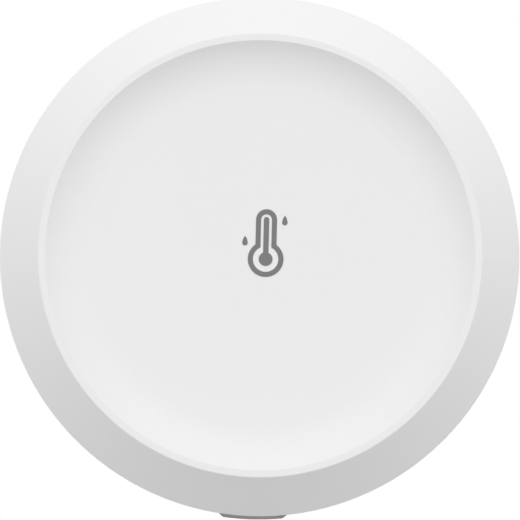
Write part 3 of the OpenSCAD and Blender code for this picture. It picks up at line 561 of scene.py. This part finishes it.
def frame_into(bm, low, high, gap, line, rear, rise):
    """A printed frame on the rear of the board, a gap outside a part's box."""
    rings = []
    for inset, y in ((0, rear - rise), (0, rear + rise), (line, rear + rise), (line, rear - rise)):
        x1, x2 = low.x - gap + inset, high.x + gap - inset
        z1, z2 = low.z - gap + inset, high.z + gap - inset
        rings.append([bm.verts.new((x, y, z)) for x, z in ((x1, z1), (x2, z1), (x2, z2), (x1, z2))])
    faces_between(bm, rings + rings[:1])


def piece(name, bm, finish, body, replaced=()):
    """A finished mesh piece that rides on a body."""
    bmesh.ops.remove_doubles(bm, verts=bm.verts[:], dist=1e-8)
    bmesh.ops.recalc_face_normals(bm, faces=bm.faces[:])
    for face in bm.faces:
        face.smooth = True
    for edge in bm.edges:
        edge.smooth = edge.calc_face_angle(0.0) < SHARP
    mesh = bpy.data.meshes.new(name)
    bm.to_mesh(mesh)
    bm.free()
    made = bpy.data.objects.new(name, mesh)
    bpy.context.scene.collection.objects.link(made)
    mesh.materials.append(finish)
    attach(made, body)
    if replaced:
        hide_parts(*replaced)
    return made


def turned_piece(name, profile, places, axis, finish, steps, body="head", replaced=()):
    """A piece of like turned forms, one at each place."""
    bm = bmesh.new()
    for place in places:
        turned_into(bm, profile, place, axis, steps)
    return piece(name, bm, finish, body, replaced)


def dress(finish, *names):
    """Puts a finish on CAD nodes."""
    for name in names:
        for holder in NODES[name].material_slots:
            holder.material = finish


def soften(*names, rounding):
    """Breaks the sharp edges of blocky CAD nodes with a small rounding."""
    for name in names:
        weld = NODES[name].modifiers.new("join_faces", "WELD")
        weld.merge_threshold = 1e-6
        round_edges = NODES[name].modifiers.new("broken_edges", "BEVEL")
        round_edges.width = rounding
        round_edges.segments = 2
        round_edges.limit_method = "ANGLE"
        round_edges.angle_limit = math.radians(50)
        round_edges.harden_normals = True


def middle(name):
    """Centre of a CAD node's box."""
    low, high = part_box(name)
    return (low + high) / 2


def ends_along(name, way):
    """The ends of a node along x, that on the side of way last."""
    low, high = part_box(name)
    return (low.x, high.x) if way > 0 else (high.x, low.x)


def spot(name, across, up):
    """A place (x, z) at a node, in shares of its half width and half height from its middle."""
    low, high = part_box(name)
    centre, half = (low + high) / 2, (high - low) / 2
    return Vector((centre.x + across * half.x, centre.z + up * half.z))


def row_boxes(name):
    """Boxes of the single parts in a row, from below."""
    low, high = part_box(name)
    pitch = (high.z - low.z - ROW_PART_W) / (ROW_COUNT - 1)
    bottoms = [low.z + pitch * k for k in range(ROW_COUNT)]
    return [(Vector((low.x, low.y, z)), Vector((high.x, high.y, z + ROW_PART_W))) for z in bottoms]


def radio_pad_heights():
    """Heights of the edge pads on either side of the radio board."""
    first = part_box("radio_board")[0].z + RADIO_PAD_FIRST
    return [first + RADIO_PAD_PITCH * k for k in range(RADIO_PADS)]


# Operators

class SENSOR_OT_stage(bpy.types.Operator):
    """Camera, studio light and floor"""

    bl_idname = "sensor.stage"
    bl_label = "Stage"

    def execute(self, context):
        values = context.scene.sensor_stage
        context.scene.view_settings.view_transform = "Standard"
        self.camera(context, values)
        self.studio(context, values)
        self.rear_lamp(context, values)
        self.floor(context, values)
        return {"FINISHED"}

    def camera(self, context, values):
        """A camera that looks at the target from the photograph's side."""
        data = bpy.data.cameras.new("sensor_camera")
        data.sensor_width = 36
        data.lens = values.lens
        data.clip_start, data.clip_end = 0.01, 20
        made = bpy.data.objects.new("sensor_camera", data)
        az, el, roll = values.azimuth, values.elevation, values.roll
        back = Vector((math.sin(az) * math.cos(el), -math.cos(az) * math.cos(el), math.sin(el)))
        right = Vector((math.cos(az), math.sin(az), 0))
        up = back.cross(right)
        across = math.cos(roll) * right + math.sin(roll) * up
        rise = math.cos(roll) * up - math.sin(roll) * right
        stand = Matrix((across, rise, back)).transposed().to_4x4()
        made.matrix_world = Matrix.Translation(Vector(values.target) + back * values.distance) @ stand
        context.scene.collection.objects.link(made)
        context.scene.camera = made

    def studio(self, context, values):
        """Soft light from all round, stronger from the front and from above, before a white ground."""
        world = bpy.data.worlds.new("soft_studio")
        context.scene.world = world
        world.use_nodes = True
        tree = world.node_tree
        tree.nodes.clear()
        way = add(tree, "ShaderNodeTexCoord").outputs["Generated"]
        lean = agreed(tree, way, (0, -values.front_gain, values.top_gain))
        level = calc(tree, "MAXIMUM", calc(tree, "ADD", lean, values.ambient), 0)
        soft = add(tree, "ShaderNodeBackground", {"Color": (1, 1, 1), "Strength": level}).outputs[0]
        plain = add(tree, "ShaderNodeBackground", {"Color": (1, 1, 1), "Strength": 1}).outputs[0]
        ray = add(tree, "ShaderNodeLightPath").outputs
        mirrored = calc(tree, "MAXIMUM", ray["Is Glossy Ray"], ray["Is Transmission Ray"])
        seen = calc(tree, "MAXIMUM", ray["Is Camera Ray"], mirrored)
        choose = add(tree, "ShaderNodeMixShader", {0: seen, 1: soft, 2: plain})
        add(tree, "ShaderNodeOutputWorld", {"Surface": choose.outputs[0]})

    def rear_lamp(self, context, values):
        """A soft lamp behind the sensor, for looks at its rear."""
        data = bpy.data.lights.new("rear_fill", "AREA")
        data.shape = "SQUARE"
        data.size = values.rear_size
        data.energy = values.rear_fill
        made = bpy.data.objects.new("rear_fill", data)
        place = Vector(values.rear_place)
        aim = (-place).to_track_quat("-Z", "Y").to_matrix().to_4x4()
        made.matrix_world = Matrix.Translation(place) @ aim
        context.scene.collection.objects.link(made)

    def floor(self, context, values):
        """A pale floor that is clear from below and sends no light back up."""
        finish, tree, shader = blank_finish("studio_floor", {"Specular IOR Level": 0.2, "Roughness": 0.8})
        cloud = ramp(tree, noise(tree, own_place(tree), scale=40), (0.2, 0.8), (0.98, 1))
        tree.links.new(scaled(tree, values.floor_color, cloud), shader.inputs["Base Color"])
        clear = add(tree, "ShaderNodeBsdfTransparent").outputs[0]
        below = add(tree, "ShaderNodeNewGeometry").outputs["Backfacing"]
        choose = add(tree, "ShaderNodeMixShader", {0: below, 1: shader.outputs[0], 2: clear})
        tree.links.new(choose.outputs[0], tree.nodes["Material Output"].inputs["Surface"])
        bm = bmesh.new()
        bmesh.ops.create_grid(bm, x_segments=8, y_segments=8, size=values.floor_reach)
        mesh = bpy.data.meshes.new("floor")
        bm.to_mesh(mesh)
        bm.free()
        mesh.materials.append(finish)
        made = bpy.data.objects.new("floor", mesh)
        made.location = (0, 0, values.floor_z)
        made.visible_diffuse = False
        context.scene.collection.objects.link(made)


class SENSOR_OT_case(bpy.types.Operator):
    """Satin white finish of the front case"""

    bl_idname = "sensor.case"
    bl_label = "Front case"

    def execute(self, context):
        values = context.scene.sensor_plastics
        dress(plastic_finish("satin_white_case", values.case_color, rough=0.45, tone=0.012, gloss=0.10),
              "front_case")
        return {"FINISHED"}


class SENSOR_OT_pictogram(bpy.types.Operator):
    """Grey ink of the printed pictogram"""

    bl_idname = "sensor.pictogram"
    bl_label = "Printed pictogram"

    def execute(self, context):
        values = context.scene.sensor_plastics
        dress(plastic_finish("pictogram_ink", values.ink_color, rough=0.55, grain=16000, depth=0.000003,
                             tone=0.10, gloss=0.16, rub=0, specular=0.35), "printed_pictogram")
        return {"FINISHED"}


class SENSOR_OT_key(bpy.types.Operator):
    """Grey plastic of the pairing key, set darker than the case's white so that it paints in the shade that
    falls on it under the rim
    """

    bl_idname = "sensor.key"
    bl_label = "Pairing key"

    def execute(self, context):
        values = context.scene.sensor_plastics
        # The key's darker grey is painted shade for the shade under the case's rim
        dress(plastic_finish("key_plastic_painted_shade", values.key_grey_painted_shade, rough=0.62, gloss=0.10, rub=0.10,
                             specular=0.12), "pairing_key")
        return {"FINISHED"}


class SENSOR_OT_filters(bpy.types.Operator):
    """Dark woven mesh of the two dust filters"""

    bl_idname = "sensor.filters"
    bl_label = "Dust filters"

    def execute(self, context):
        color = context.scene.sensor_plastics.filter_color
        for side in ("left", "right"):
            heart = middle("filter_" + side)
            turn = math.atan2(heart.x, -heart.z)
            dress(filter_finish("dust_mesh_" + side, color, turn), "filter_" + side)
        return {"FINISHED"}


class SENSOR_OT_base(bpy.types.Operator):
    """White wall base"""

    bl_idname = "sensor.base"
    bl_label = "Wall base"

    def execute(self, context):
        values = context.scene.sensor_plastics
        dress(plastic_finish("white_wall_base", values.base_color, rough=0.5, tone=0.03), "base_plate")
        return {"FINISHED"}


class SENSOR_OT_pad(bpy.types.Operator):
    """Die-cut adhesive foam pad"""

    bl_idname = "sensor.pad"
    bl_label = "Adhesive pad"

    def execute(self, context):
        values = context.scene.sensor_plastics
        low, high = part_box("adhesive_pad")
        radius, half = (high.x - low.x) / 2, (high.y - low.y) / 2
        turns = [math.radians(15 * k) for k in range(-6, 7)]
        edge = [(radius - values.foam_pinch * (1 - math.cos(a)), half * (1 + math.sin(a))) for a in turns]
        profile = [(0, 0), (radius / 2, 0), *edge, (radius / 2, 2 * half), (0, 2 * half)]
        foam = foam_finish("tacky_foam", values.foam_color)
        pad = turned_piece("adhesive_foam", profile, [(0, low.y, 0)], (0, 1, 0), foam, steps=128,
                           body="base", replaced=("adhesive_pad",))
        return {"FINISHED"}


class SENSOR_OT_tray(bpy.types.Operator):
    """Natural white battery tray"""

    bl_idname = "sensor.tray"
    bl_label = "Battery tray"

    def execute(self, context):
        values = context.scene.sensor_plastics
        coarser = 0.6 * values.grain
        dress(plastic_finish("natural_tray_plastic", values.tray_color, rough=0.48, grain=coarser, tone=0.05,
                             gloss=0.16), "battery_tray")
        return {"FINISHED"}


class SENSOR_OT_screws(bpy.types.Operator):
    """Zinc plated tray screws"""

    bl_idname = "sensor.screws"
    bl_label = "Tray screws"

    def execute(self, context):
        zinc = context.scene.sensor_metals.zinc
        dress(metal_finish("zinc_screws", zinc, rough=0.26, stretch=(6000, 900, 6000)), "tray_screws")
        soften("tray_screws", rounding=0.00012)
        return {"FINISHED"}


class SENSOR_OT_cells(bpy.types.Operator):
    """Cans, printed sleeves and washers of the two cells"""

    bl_idname = "sensor.cells"
    bl_label = "Cells"

    def execute(self, context):
        values = context.scene.sensor_cells
        steel = context.scene.sensor_metals.steel
        can = metal_finish("cell_steel", steel, rough=0.22, stretch=(900, 9000, 9000))
        card = plastic_finish("cell_washer_card", values.washer, rough=0.6, grain=9000, tone=0.1)
        ring = ring_profile(values.washer_in, values.washer_out, low=-0.00002, high=0.00014, edge=0.00004)
        for place, way in (("lower", 1), ("upper", -1)):
            cell = "cell_" + place
            dress(can, cell)
            dress(film_finish("cell_film_" + place, values.film, values.band, values.band_l,
                              *ends_along(cell + "_sleeve", way)), cell + "_sleeve")
            tip = ends_along(cell, way)[1]
            heart = (tip - way * values.nub, middle(cell).y, middle(cell).z)
            turned_piece(cell + "_washer", ring, [heart], (way, 0, 0), card, steps=64)
        return {"FINISHED"}


class SENSOR_OT_springs(bpy.types.Operator):
    """Round wire battery springs"""

    bl_idname = "sensor.springs"
    bl_label = "Battery springs"

    def execute(self, context):
        values = context.scene.sensor_metals
        finish = metal_finish("spring_wire", values.nickel, rough=0.18, stretch=(5000, 5000, 5000))
        for name, cell, way in (("spring_left", "cell_lower", 1), ("spring_right", "cell_upper", -1)):
            bm = bmesh.new()
            wire_into(bm, self.coil(values, name, middle(cell), way), values.wire / 2)
            piece(name + "_wire", bm, finish, "head", (name,))
        return {"FINISHED"}

    def coil(self, values, name, heart, way):
        """Points of a coil that narrows from its plate to its cell."""
        start, end = ends_along(name, way)
        run = abs(end - start) - values.wire
        steps_per_turn = 40
        steps = values.wire_turns * steps_per_turn
        points = []
        for k in range(steps + 1):
            t = k / steps
            around = math.tau * values.wire_turns * t
            radius = values.wide_end + (values.narrow_end - values.wide_end) * t
            x = start + way * (values.wire / 2 + run * t)
            y = heart.y - radius * math.sin(around)
            points.append(Vector((x, y, heart.z + way * radius * math.cos(around))))
        return points


class SENSOR_OT_contacts(bpy.types.Operator):
    """Nickel plated contact plates"""

    bl_idname = "sensor.contacts"
    bl_label = "Battery contacts"

    def execute(self, context):
        nickel = context.scene.sensor_metals.nickel
        dress(metal_finish("nickel_contacts", nickel, rough=0.2, stretch=(9000, 700, 9000)),
              "contact_positive", "contact_negative", "contact_link")
        return {"FINISHED"}


class SENSOR_OT_board(bpy.types.Operator):
    """Main board with its tracks, printed frames, test pads and solder"""

    bl_idname = "sensor.board"
    bl_label = "Circuit board"

    # Tracks between two nodes, each end in shares of its node's half width and half height
    runs = (
        (("crystal", -0.8, 1.2), ("sensor_chip", 0.6, 0.45)),
        (("crystal", 0.8, 1.2), ("sensor_chip", 0.3, 0.75)),
        (("switch_body", -1.1, 0.5), ("crystal", 1.1, 0.0)),
        (("switch_body", -1.1, -0.6), ("status_light", 1.1, 0.0)),
        (("switch_body", 1.1, 0.5), ("memory_chip", -0.76, 1.4)),
        (("switch_body", 1.1, -0.6), ("memory_chip", -0.76, -1.4)),
        (("memory_chip", 0.25, 1.4), ("can_capacitor_foot", -1.1, -0.3)),
        (("memory_chip", 0.76, 1.4), ("can_capacitor_foot", -1.1, -0.7)),
    )
    # Tracks from a node to a plated hole beside it
    stubs = (
        (("memory_chip", -0.25, 1.4), ("memory_chip", 0.1, 2.4)),
        (("can_capacitor_foot", 1.1, -0.5), ("can_capacitor_foot", 1.6, 0.2)),
        (("status_light", -1.1, 0.0), ("status_light", -2.6, 1.5)),
    )

    def execute(self, context):
        values = context.scene.sensor_boards
        metals = context.scene.sensor_metals
        dress(board_finish("green_board", values.mask_green, values.laminate), "circuit_board")
        front, rear = (corner.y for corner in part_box("circuit_board"))
        solder = metal_finish("soft_solder", metals.tin, rough=0.2, stretch=(4000, 4000, 4000))
        first = spot("radio_board", -2.2, -0.75)
        pads = [first - Vector((values.pad_pitch * k, 0)) for k in range(values.pad_count)]
        self.test_pads(values, rear, pads, metals.gold)
        self.tracks(values, rear, pads, solder)
        self.legend(values, rear)
        self.tail_solder(front, solder)
        return {"FINISHED"}

    def test_pads(self, values, rear, pads, gold):
        """The row of round test pads, and two marks for the placing machine."""
        marks = [spot("radio_board", 2.7, -0.1), spot("sensor_chip", -3.8, 2.6)]
        dome = dome_profile(values.pad_r, 2 * values.track_rise, sink=0.00001)
        places = [(place.x, rear, place.y) for place in pads + marks]
        finish = metal_finish("gold_test_pads", gold, rough=0.24, stretch=(3000, 3000, 3000))
        turned_piece("board_test_pads", dome, places, (0, 1, 0), finish, steps=32)

    def tracks(self, values, rear, pads, solder):
        """Tracks under the mask, and the plated holes that some of them end in."""
        routes, holes = self.radio_routes(values, pads)
        routes += [bent(spot(*start), spot(*end)) for start, end in self.runs + self.stubs]
        holes += [spot(*end) for start, end in self.stubs]
        # The mask looks lighter over copper
        gain, lift = 1.9, 0.004
        covered = [c * gain + lift for c in values.mask_green]
        bm = bmesh.new()
        for route in routes:
            track_into(bm, route, values.track, rear, values.track_rise)
        finish = board_finish("covered_track", covered, values.laminate)
        piece("board_tracks", bm, finish, "head")
        eyelet = ring_profile(inner=0.00016, outer=0.00043, low=-0.00002, high=0.00006, edge=0.00003)
        places = [(hole.x, rear, hole.y) for hole in holes]
        turned_piece("board_vias", eyelet, places, (0, 1, 0), solder, steps=24)

    def radio_routes(self, values, pads):
        """Tracks from the radio board to the small parts and the test pads, and their plated holes."""
        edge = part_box("radio_board")[1].x
        heights = radio_pad_heights()
        routes, holes = [], []
        for side, name in ((-1, "small_capacitors"), (1, "small_resistors")):
            for (low, high), height in zip(row_boxes(name), heights[-ROW_COUNT:]):
                level = (low.z + high.z) / 2
                inner, outer = sorted((low.x, high.x), key=abs)
                hole = Vector((outer + side * values.hole_reach, level - values.hole_reach))
                routes.append(bent(Vector((side * edge, height)), Vector((inner, level))))
                routes.append([Vector((outer, level)), hole])
                holes.append(hole)
        wired = 2
        for k, pad in enumerate(pads[:wired]):
            routes.append(bent(pad, Vector((-edge, heights[wired + k]))))
        for k, pad in enumerate(pads[wired:]):
            hole = pad + values.pad_pitch * Vector((-1, len(pads) - wired - k))
            routes.append(bent(pad, hole))
            holes.append(hole)
        return routes, holes

    def legend(self, values, rear):
        """Frames printed round the parts, and a dot at the memory chip's first lead."""
        names = ("switch_body", "crystal", "status_light", "memory_chip", "can_capacitor_foot")
        boxes = [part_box(name) for name in names]
        bm = bmesh.new()
        for low, high in boxes + row_boxes("small_capacitors") + row_boxes("small_resistors"):
            frame_into(bm, low, high, values.legend_gap, values.legend_line, rear, values.legend_rise)
        dot = spot("memory_chip", -1.15, 0.55)
        dome = dome_profile(radius=0.0002, height=values.legend_rise, sink=0.00001)
        turned_into(bm, dome, (dot.x, rear, dot.y), (0, 1, 0), steps=24)
        ink = plastic_finish("legend_ink", values.legend, rough=0.6, grain=16000, depth=0.000003, tone=0.08,
                             rub=0)
        piece("board_legend", bm, ink, "head")

    def tail_solder(self, front, solder):
        """A hollow cone of solder round each contact's tail, on the front of the board."""
        heel, height, hollow, sink = 0.0013, 0.00054, 1.3, 0.00001
        slope = [(heel * (1 - t) ** hollow, height * t) for t in (k / 6 for k in range(7))]
        places = []
        for name in ("contact_positive", "contact_negative", "contact_link"):
            low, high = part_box(name)
            x = low.x + CONTACT_SHEET / 2 if high.x < 0 else high.x - CONTACT_SHEET / 2
            carried = ("cell_lower", "cell_upper") if name == "contact_link" else (name,)
            places += [(x, front, middle(node).z) for node in carried]
        cone = [(0, -sink), (heel, -sink), *slope]
        turned_piece("tail_solder", cone, places, (0, -1, 0), solder, steps=32)


class SENSOR_OT_radio(bpy.types.Operator):
    """Radio board, shield can, aerial and edge pads"""

    bl_idname = "sensor.radio"
    bl_label = "Radio module"

    def execute(self, context):
        values = context.scene.sensor_boards
        metals = context.scene.sensor_metals
        dress(board_finish("blue_radio_board", values.mask_blue, values.laminate), "radio_board")
        shield = metal_finish("tinned_shield", metals.tin, rough=0.24, stretch=(14000, 600, 900))
        dress(shield, "radio_shield")
        soften("radio_shield", rounding=0.00018)
        soften("radio_board", rounding=0.00005)
        gold = metal_finish("gold_track", metals.gold, rough=0.22, stretch=(3000, 3000, 3000))
        dress(gold, "radio_aerial")
        self.edge_pads(gold)
        return {"FINISHED"}

    def edge_pads(self, gold):
        """Plated pads that wrap round the two long edges of the radio board."""
        low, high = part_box("radio_board")
        half_w, reach, plate = 0.0004, 0.0007, 0.00004
        bm = bmesh.new()
        for side, edge in ((-1, low.x), (1, high.x)):
            for out, foot in ((side * plate, low.y + plate / 2), (-side * reach, high.y)):
                x1, x2 = sorted((edge, edge + out))
                for z in radio_pad_heights():
                    block_into(bm, (x1, foot, z - half_w), (x2, high.y + plate, z + half_w),
                               rounding=plate / 4, steps=1)
        piece("radio_edge_pads", bm, gold, "head")


class SENSOR_OT_sensor_chip(bpy.types.Operator):
    """Sensor chip and its breathing membrane"""

    bl_idname = "sensor.sensor_chip"
    bl_label = "Sensor chip"

    def execute(self, context):
        values = context.scene.sensor_boards
        dress(plastic_finish("sensor_epoxy", values.epoxy, rough=0.42, grain=12000, depth=0.000004, tone=0.3,
                             gloss=0.2), "sensor_chip")
        soften("sensor_chip", rounding=0.0001)
        soften("sensor_membrane", rounding=0.00004)
        dress(plastic_finish("membrane_film", values.membrane, rough=0.7, grain=20000, depth=0.00001,
                             tone=0.08, gloss=0.1, rub=0, specular=0.25), "sensor_membrane")
        return {"FINISHED"}


class SENSOR_OT_switch(bpy.types.Operator):
    """Key switch: black body, plunger, steel cover and rivets"""

    bl_idname = "sensor.switch"
    bl_label = "Key switch"

    def execute(self, context):
        black = plastic_finish("switch_black", context.scene.sensor_boards.epoxy, rough=0.4, grain=9000,
                               depth=0.000005, tone=0.3, gloss=0.2)
        steel = metal_finish("switch_steel", context.scene.sensor_metals.tin, rough=0.24,
                             stretch=(900, 900, 12000))
        dress(black, "switch_body", "switch_plunger")
        soften("switch_plunger", rounding=0.00012)
        low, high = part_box("switch_body")
        sheet, inset = 0.0002, 0.0008
        leg_w, leg_out, leg_lap, leg_sink = 0.0008, 0.0007, 0.0001, 0.00002
        rivet = dome_profile(radius=0.00034, height=0.00014, sink=0.00005)
        cover, rivets = bmesh.new(), bmesh.new()
        block_into(cover, (low.x + sheet, high.y, low.z + sheet),
                   (high.x - sheet, high.y + sheet, high.z - sheet), rounding=0.00008)
        for edge, out in ((low.x, -1), (high.x, 1)):
            x1, x2 = sorted((edge - out * leg_lap, edge + out * leg_out))
            for z in (low.z + inset, high.z - inset):
                block_into(cover, (x1, low.y - leg_sink, z - leg_w / 2), (x2, low.y + sheet, z + leg_w / 2),
                           rounding=0.00006)
                turned_into(rivets, rivet, (edge - out * inset, high.y + sheet, z), (0, 1, 0), steps=24)
        piece("switch_cover", cover, steel, "head")
        piece("switch_rivets", rivets, black, "head")
        return {"FINISHED"}


class SENSOR_OT_small_parts(bpy.types.Operator):
    """Status light, crystal, memory chip, small capacitors and resistors, can capacitor"""

    bl_idname = "sensor.small_parts"
    bl_label = "Small parts"

    def execute(self, context):
        values = context.scene.sensor_boards
        metals = context.scene.sensor_metals
        tin = metal_finish("tinned_ends", metals.tin, rough=0.22, stretch=(5000, 5000, 5000))
        dress(plastic_finish("milky_lens", values.lens_color, rough=0.18, grain=5000, depth=0.000002,
                             tone=0.08, gloss=0.1), "status_light")
        dress(metal_finish("crystal_lid", metals.tin, rough=0.2, stretch=(900, 900, 15000)), "crystal")
        dress(plastic_finish("chip_epoxy", values.epoxy, rough=0.38, grain=12000, depth=0.000004, tone=0.3,
                             gloss=0.2), "memory_chip", "small_resistors", "can_capacitor_foot")
        dress(plastic_finish("capacitor_ceramic", values.ceramic, rough=0.35, grain=8000, depth=0.000004,
                             tone=0.2, gloss=0.2), "small_capacitors")
        soften("status_light", "crystal", "memory_chip", "can_capacitor_foot", rounding=0.0001)
        soften("small_capacitors", "small_resistors", rounding=0.00006)
        self.end_caps(tin)
        self.leads(tin)
        self.can(metals.aluminium)
        return {"FINISHED"}

    def end_caps(self, tin):
        """Tinned caps on both ends of each small part."""
        proud, reach, rounding = Vector((0.00002, 0.00002, 0.00002)), 0.0003, 0.00006
        bm = bmesh.new()
        boxes = row_boxes("small_capacitors") + row_boxes("small_resistors") + [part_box("status_light")]
        for low, high in boxes:
            block_into(bm, low - proud, Vector((low.x + reach, high.y, high.z)) + proud, rounding)
            block_into(bm, Vector((high.x - reach, low.y, low.z)) - proud, high + proud, rounding)
        piece("part_end_caps", bm, tin, "head")

    def leads(self, tin):
        """Bent leads along both long sides of the memory chip."""
        low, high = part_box("memory_chip")
        count, pitch, half_w, thick = 4, 0.00127, 0.0002, 0.00012
        section = ((-half_w, 0), (half_w, 0), (half_w, thick), (-half_w, thick))
        # Distance out from the chip and height over the board at each bend
        bends = ((-0.0001, 0.00045), (0.00025, 0.00045), (0.00042, 0.00012), (0.00085, 0.00008))
        bm = bmesh.new()
        for side, edge in ((-1, low.z), (1, high.z)):
            for k in range(count):
                x = (low.x + high.x) / 2 + (k - (count - 1) / 2) * pitch
                rings = [[bm.verts.new((x + dx, low.y + rise + dy, edge + side * out)) for dx, dy in section]
                         for out, rise in bends]
                faces_between(bm, rings)
                bm.faces.new(rings[0])
                bm.faces.new(rings[-1])
        piece("memory_leads", bm, tin, "head")

    def can(self, aluminium):
        """Drawn can with a rolled groove, a crimped rim and a dark mark at its minus side."""
        low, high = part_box("can_capacitor")
        radius, tall = (high.x - low.x) / 2, high.y - low.y
        heart = middle("can_capacitor")
        bead, groove_steps = 0.00018, 6
        groove_low, groove_high = 0.16 * tall, 0.28 * tall
        profile = [(0, 0), (radius - bead, 0), (radius - 0.3 * bead, 0.3 * bead), (radius, bead)]
        for t in (k / groove_steps for k in range(groove_steps + 1)):
            level = groove_low + (groove_high - groove_low) * t
            profile.append((radius - bead * math.sin(math.pi * t), level))
        profile += [(radius, tall - 2 * bead), (radius - 0.6 * bead, tall - 0.6 * bead),
                    (radius - 2 * bead, tall), (radius - 3 * bead, tall - 0.5 * bead), (0, tall - 0.5 * bead)]
        finish = can_finish("aluminium_can", aluminium, heart.x + 0.35 * radius, high.y - 0.8 * bead)
        turned_piece("capacitor_can", profile, [(heart.x, low.y, heart.z)], (0, 1, 0), finish,
                     steps=64, replaced=("can_capacitor",))


class SENSOR_PT_looks(bpy.types.Panel):
    """Lists the steps that dress the sensor, with their values"""

    bl_idname = "SENSOR_PT_looks"
    bl_label = "Climate sensor"
    bl_space_type = "VIEW_3D"
    bl_region_type = "UI"
    bl_category = "Sensor"

    def draw(self, context):
        for step in STEPS:
            self.layout.operator(step.bl_idname, text=step.bl_label)
        for holder in GROUPS:
            box = self.layout.box()
            values = getattr(context.scene, holder)
            for name in values.__annotations__:
                box.prop(values, name)


GROUPS = {
    "sensor_stage": SensorStage,
    "sensor_plastics": SensorPlastics,
    "sensor_metals": SensorMetals,
    "sensor_boards": SensorBoards,
    "sensor_cells": SensorCells,
}
STEPS = (
    SENSOR_OT_stage, SENSOR_OT_case, SENSOR_OT_pictogram, SENSOR_OT_key, SENSOR_OT_filters, SENSOR_OT_base,
    SENSOR_OT_pad, SENSOR_OT_tray, SENSOR_OT_screws, SENSOR_OT_cells, SENSOR_OT_springs, SENSOR_OT_contacts,
    SENSOR_OT_board, SENSOR_OT_radio, SENSOR_OT_sensor_chip, SENSOR_OT_switch, SENSOR_OT_small_parts,
)


def register():
    for kind in (*GROUPS.values(), *STEPS, SENSOR_PT_looks):
        bpy.utils.register_class(kind)
    for holder, kind in GROUPS.items():
        setattr(bpy.types.Scene, holder, PointerProperty(type=kind))


def unregister():
    for holder in GROUPS:
        delattr(bpy.types.Scene, holder)
    for kind in (SENSOR_PT_looks, *reversed(STEPS), *reversed(GROUPS.values())):
        bpy.utils.unregister_class(kind)


def main():
    register()
    for step in STEPS:
        group, name = step.bl_idname.split(".")
        getattr(getattr(bpy.ops, group), name)()


if __name__ == "__main__":
    main()
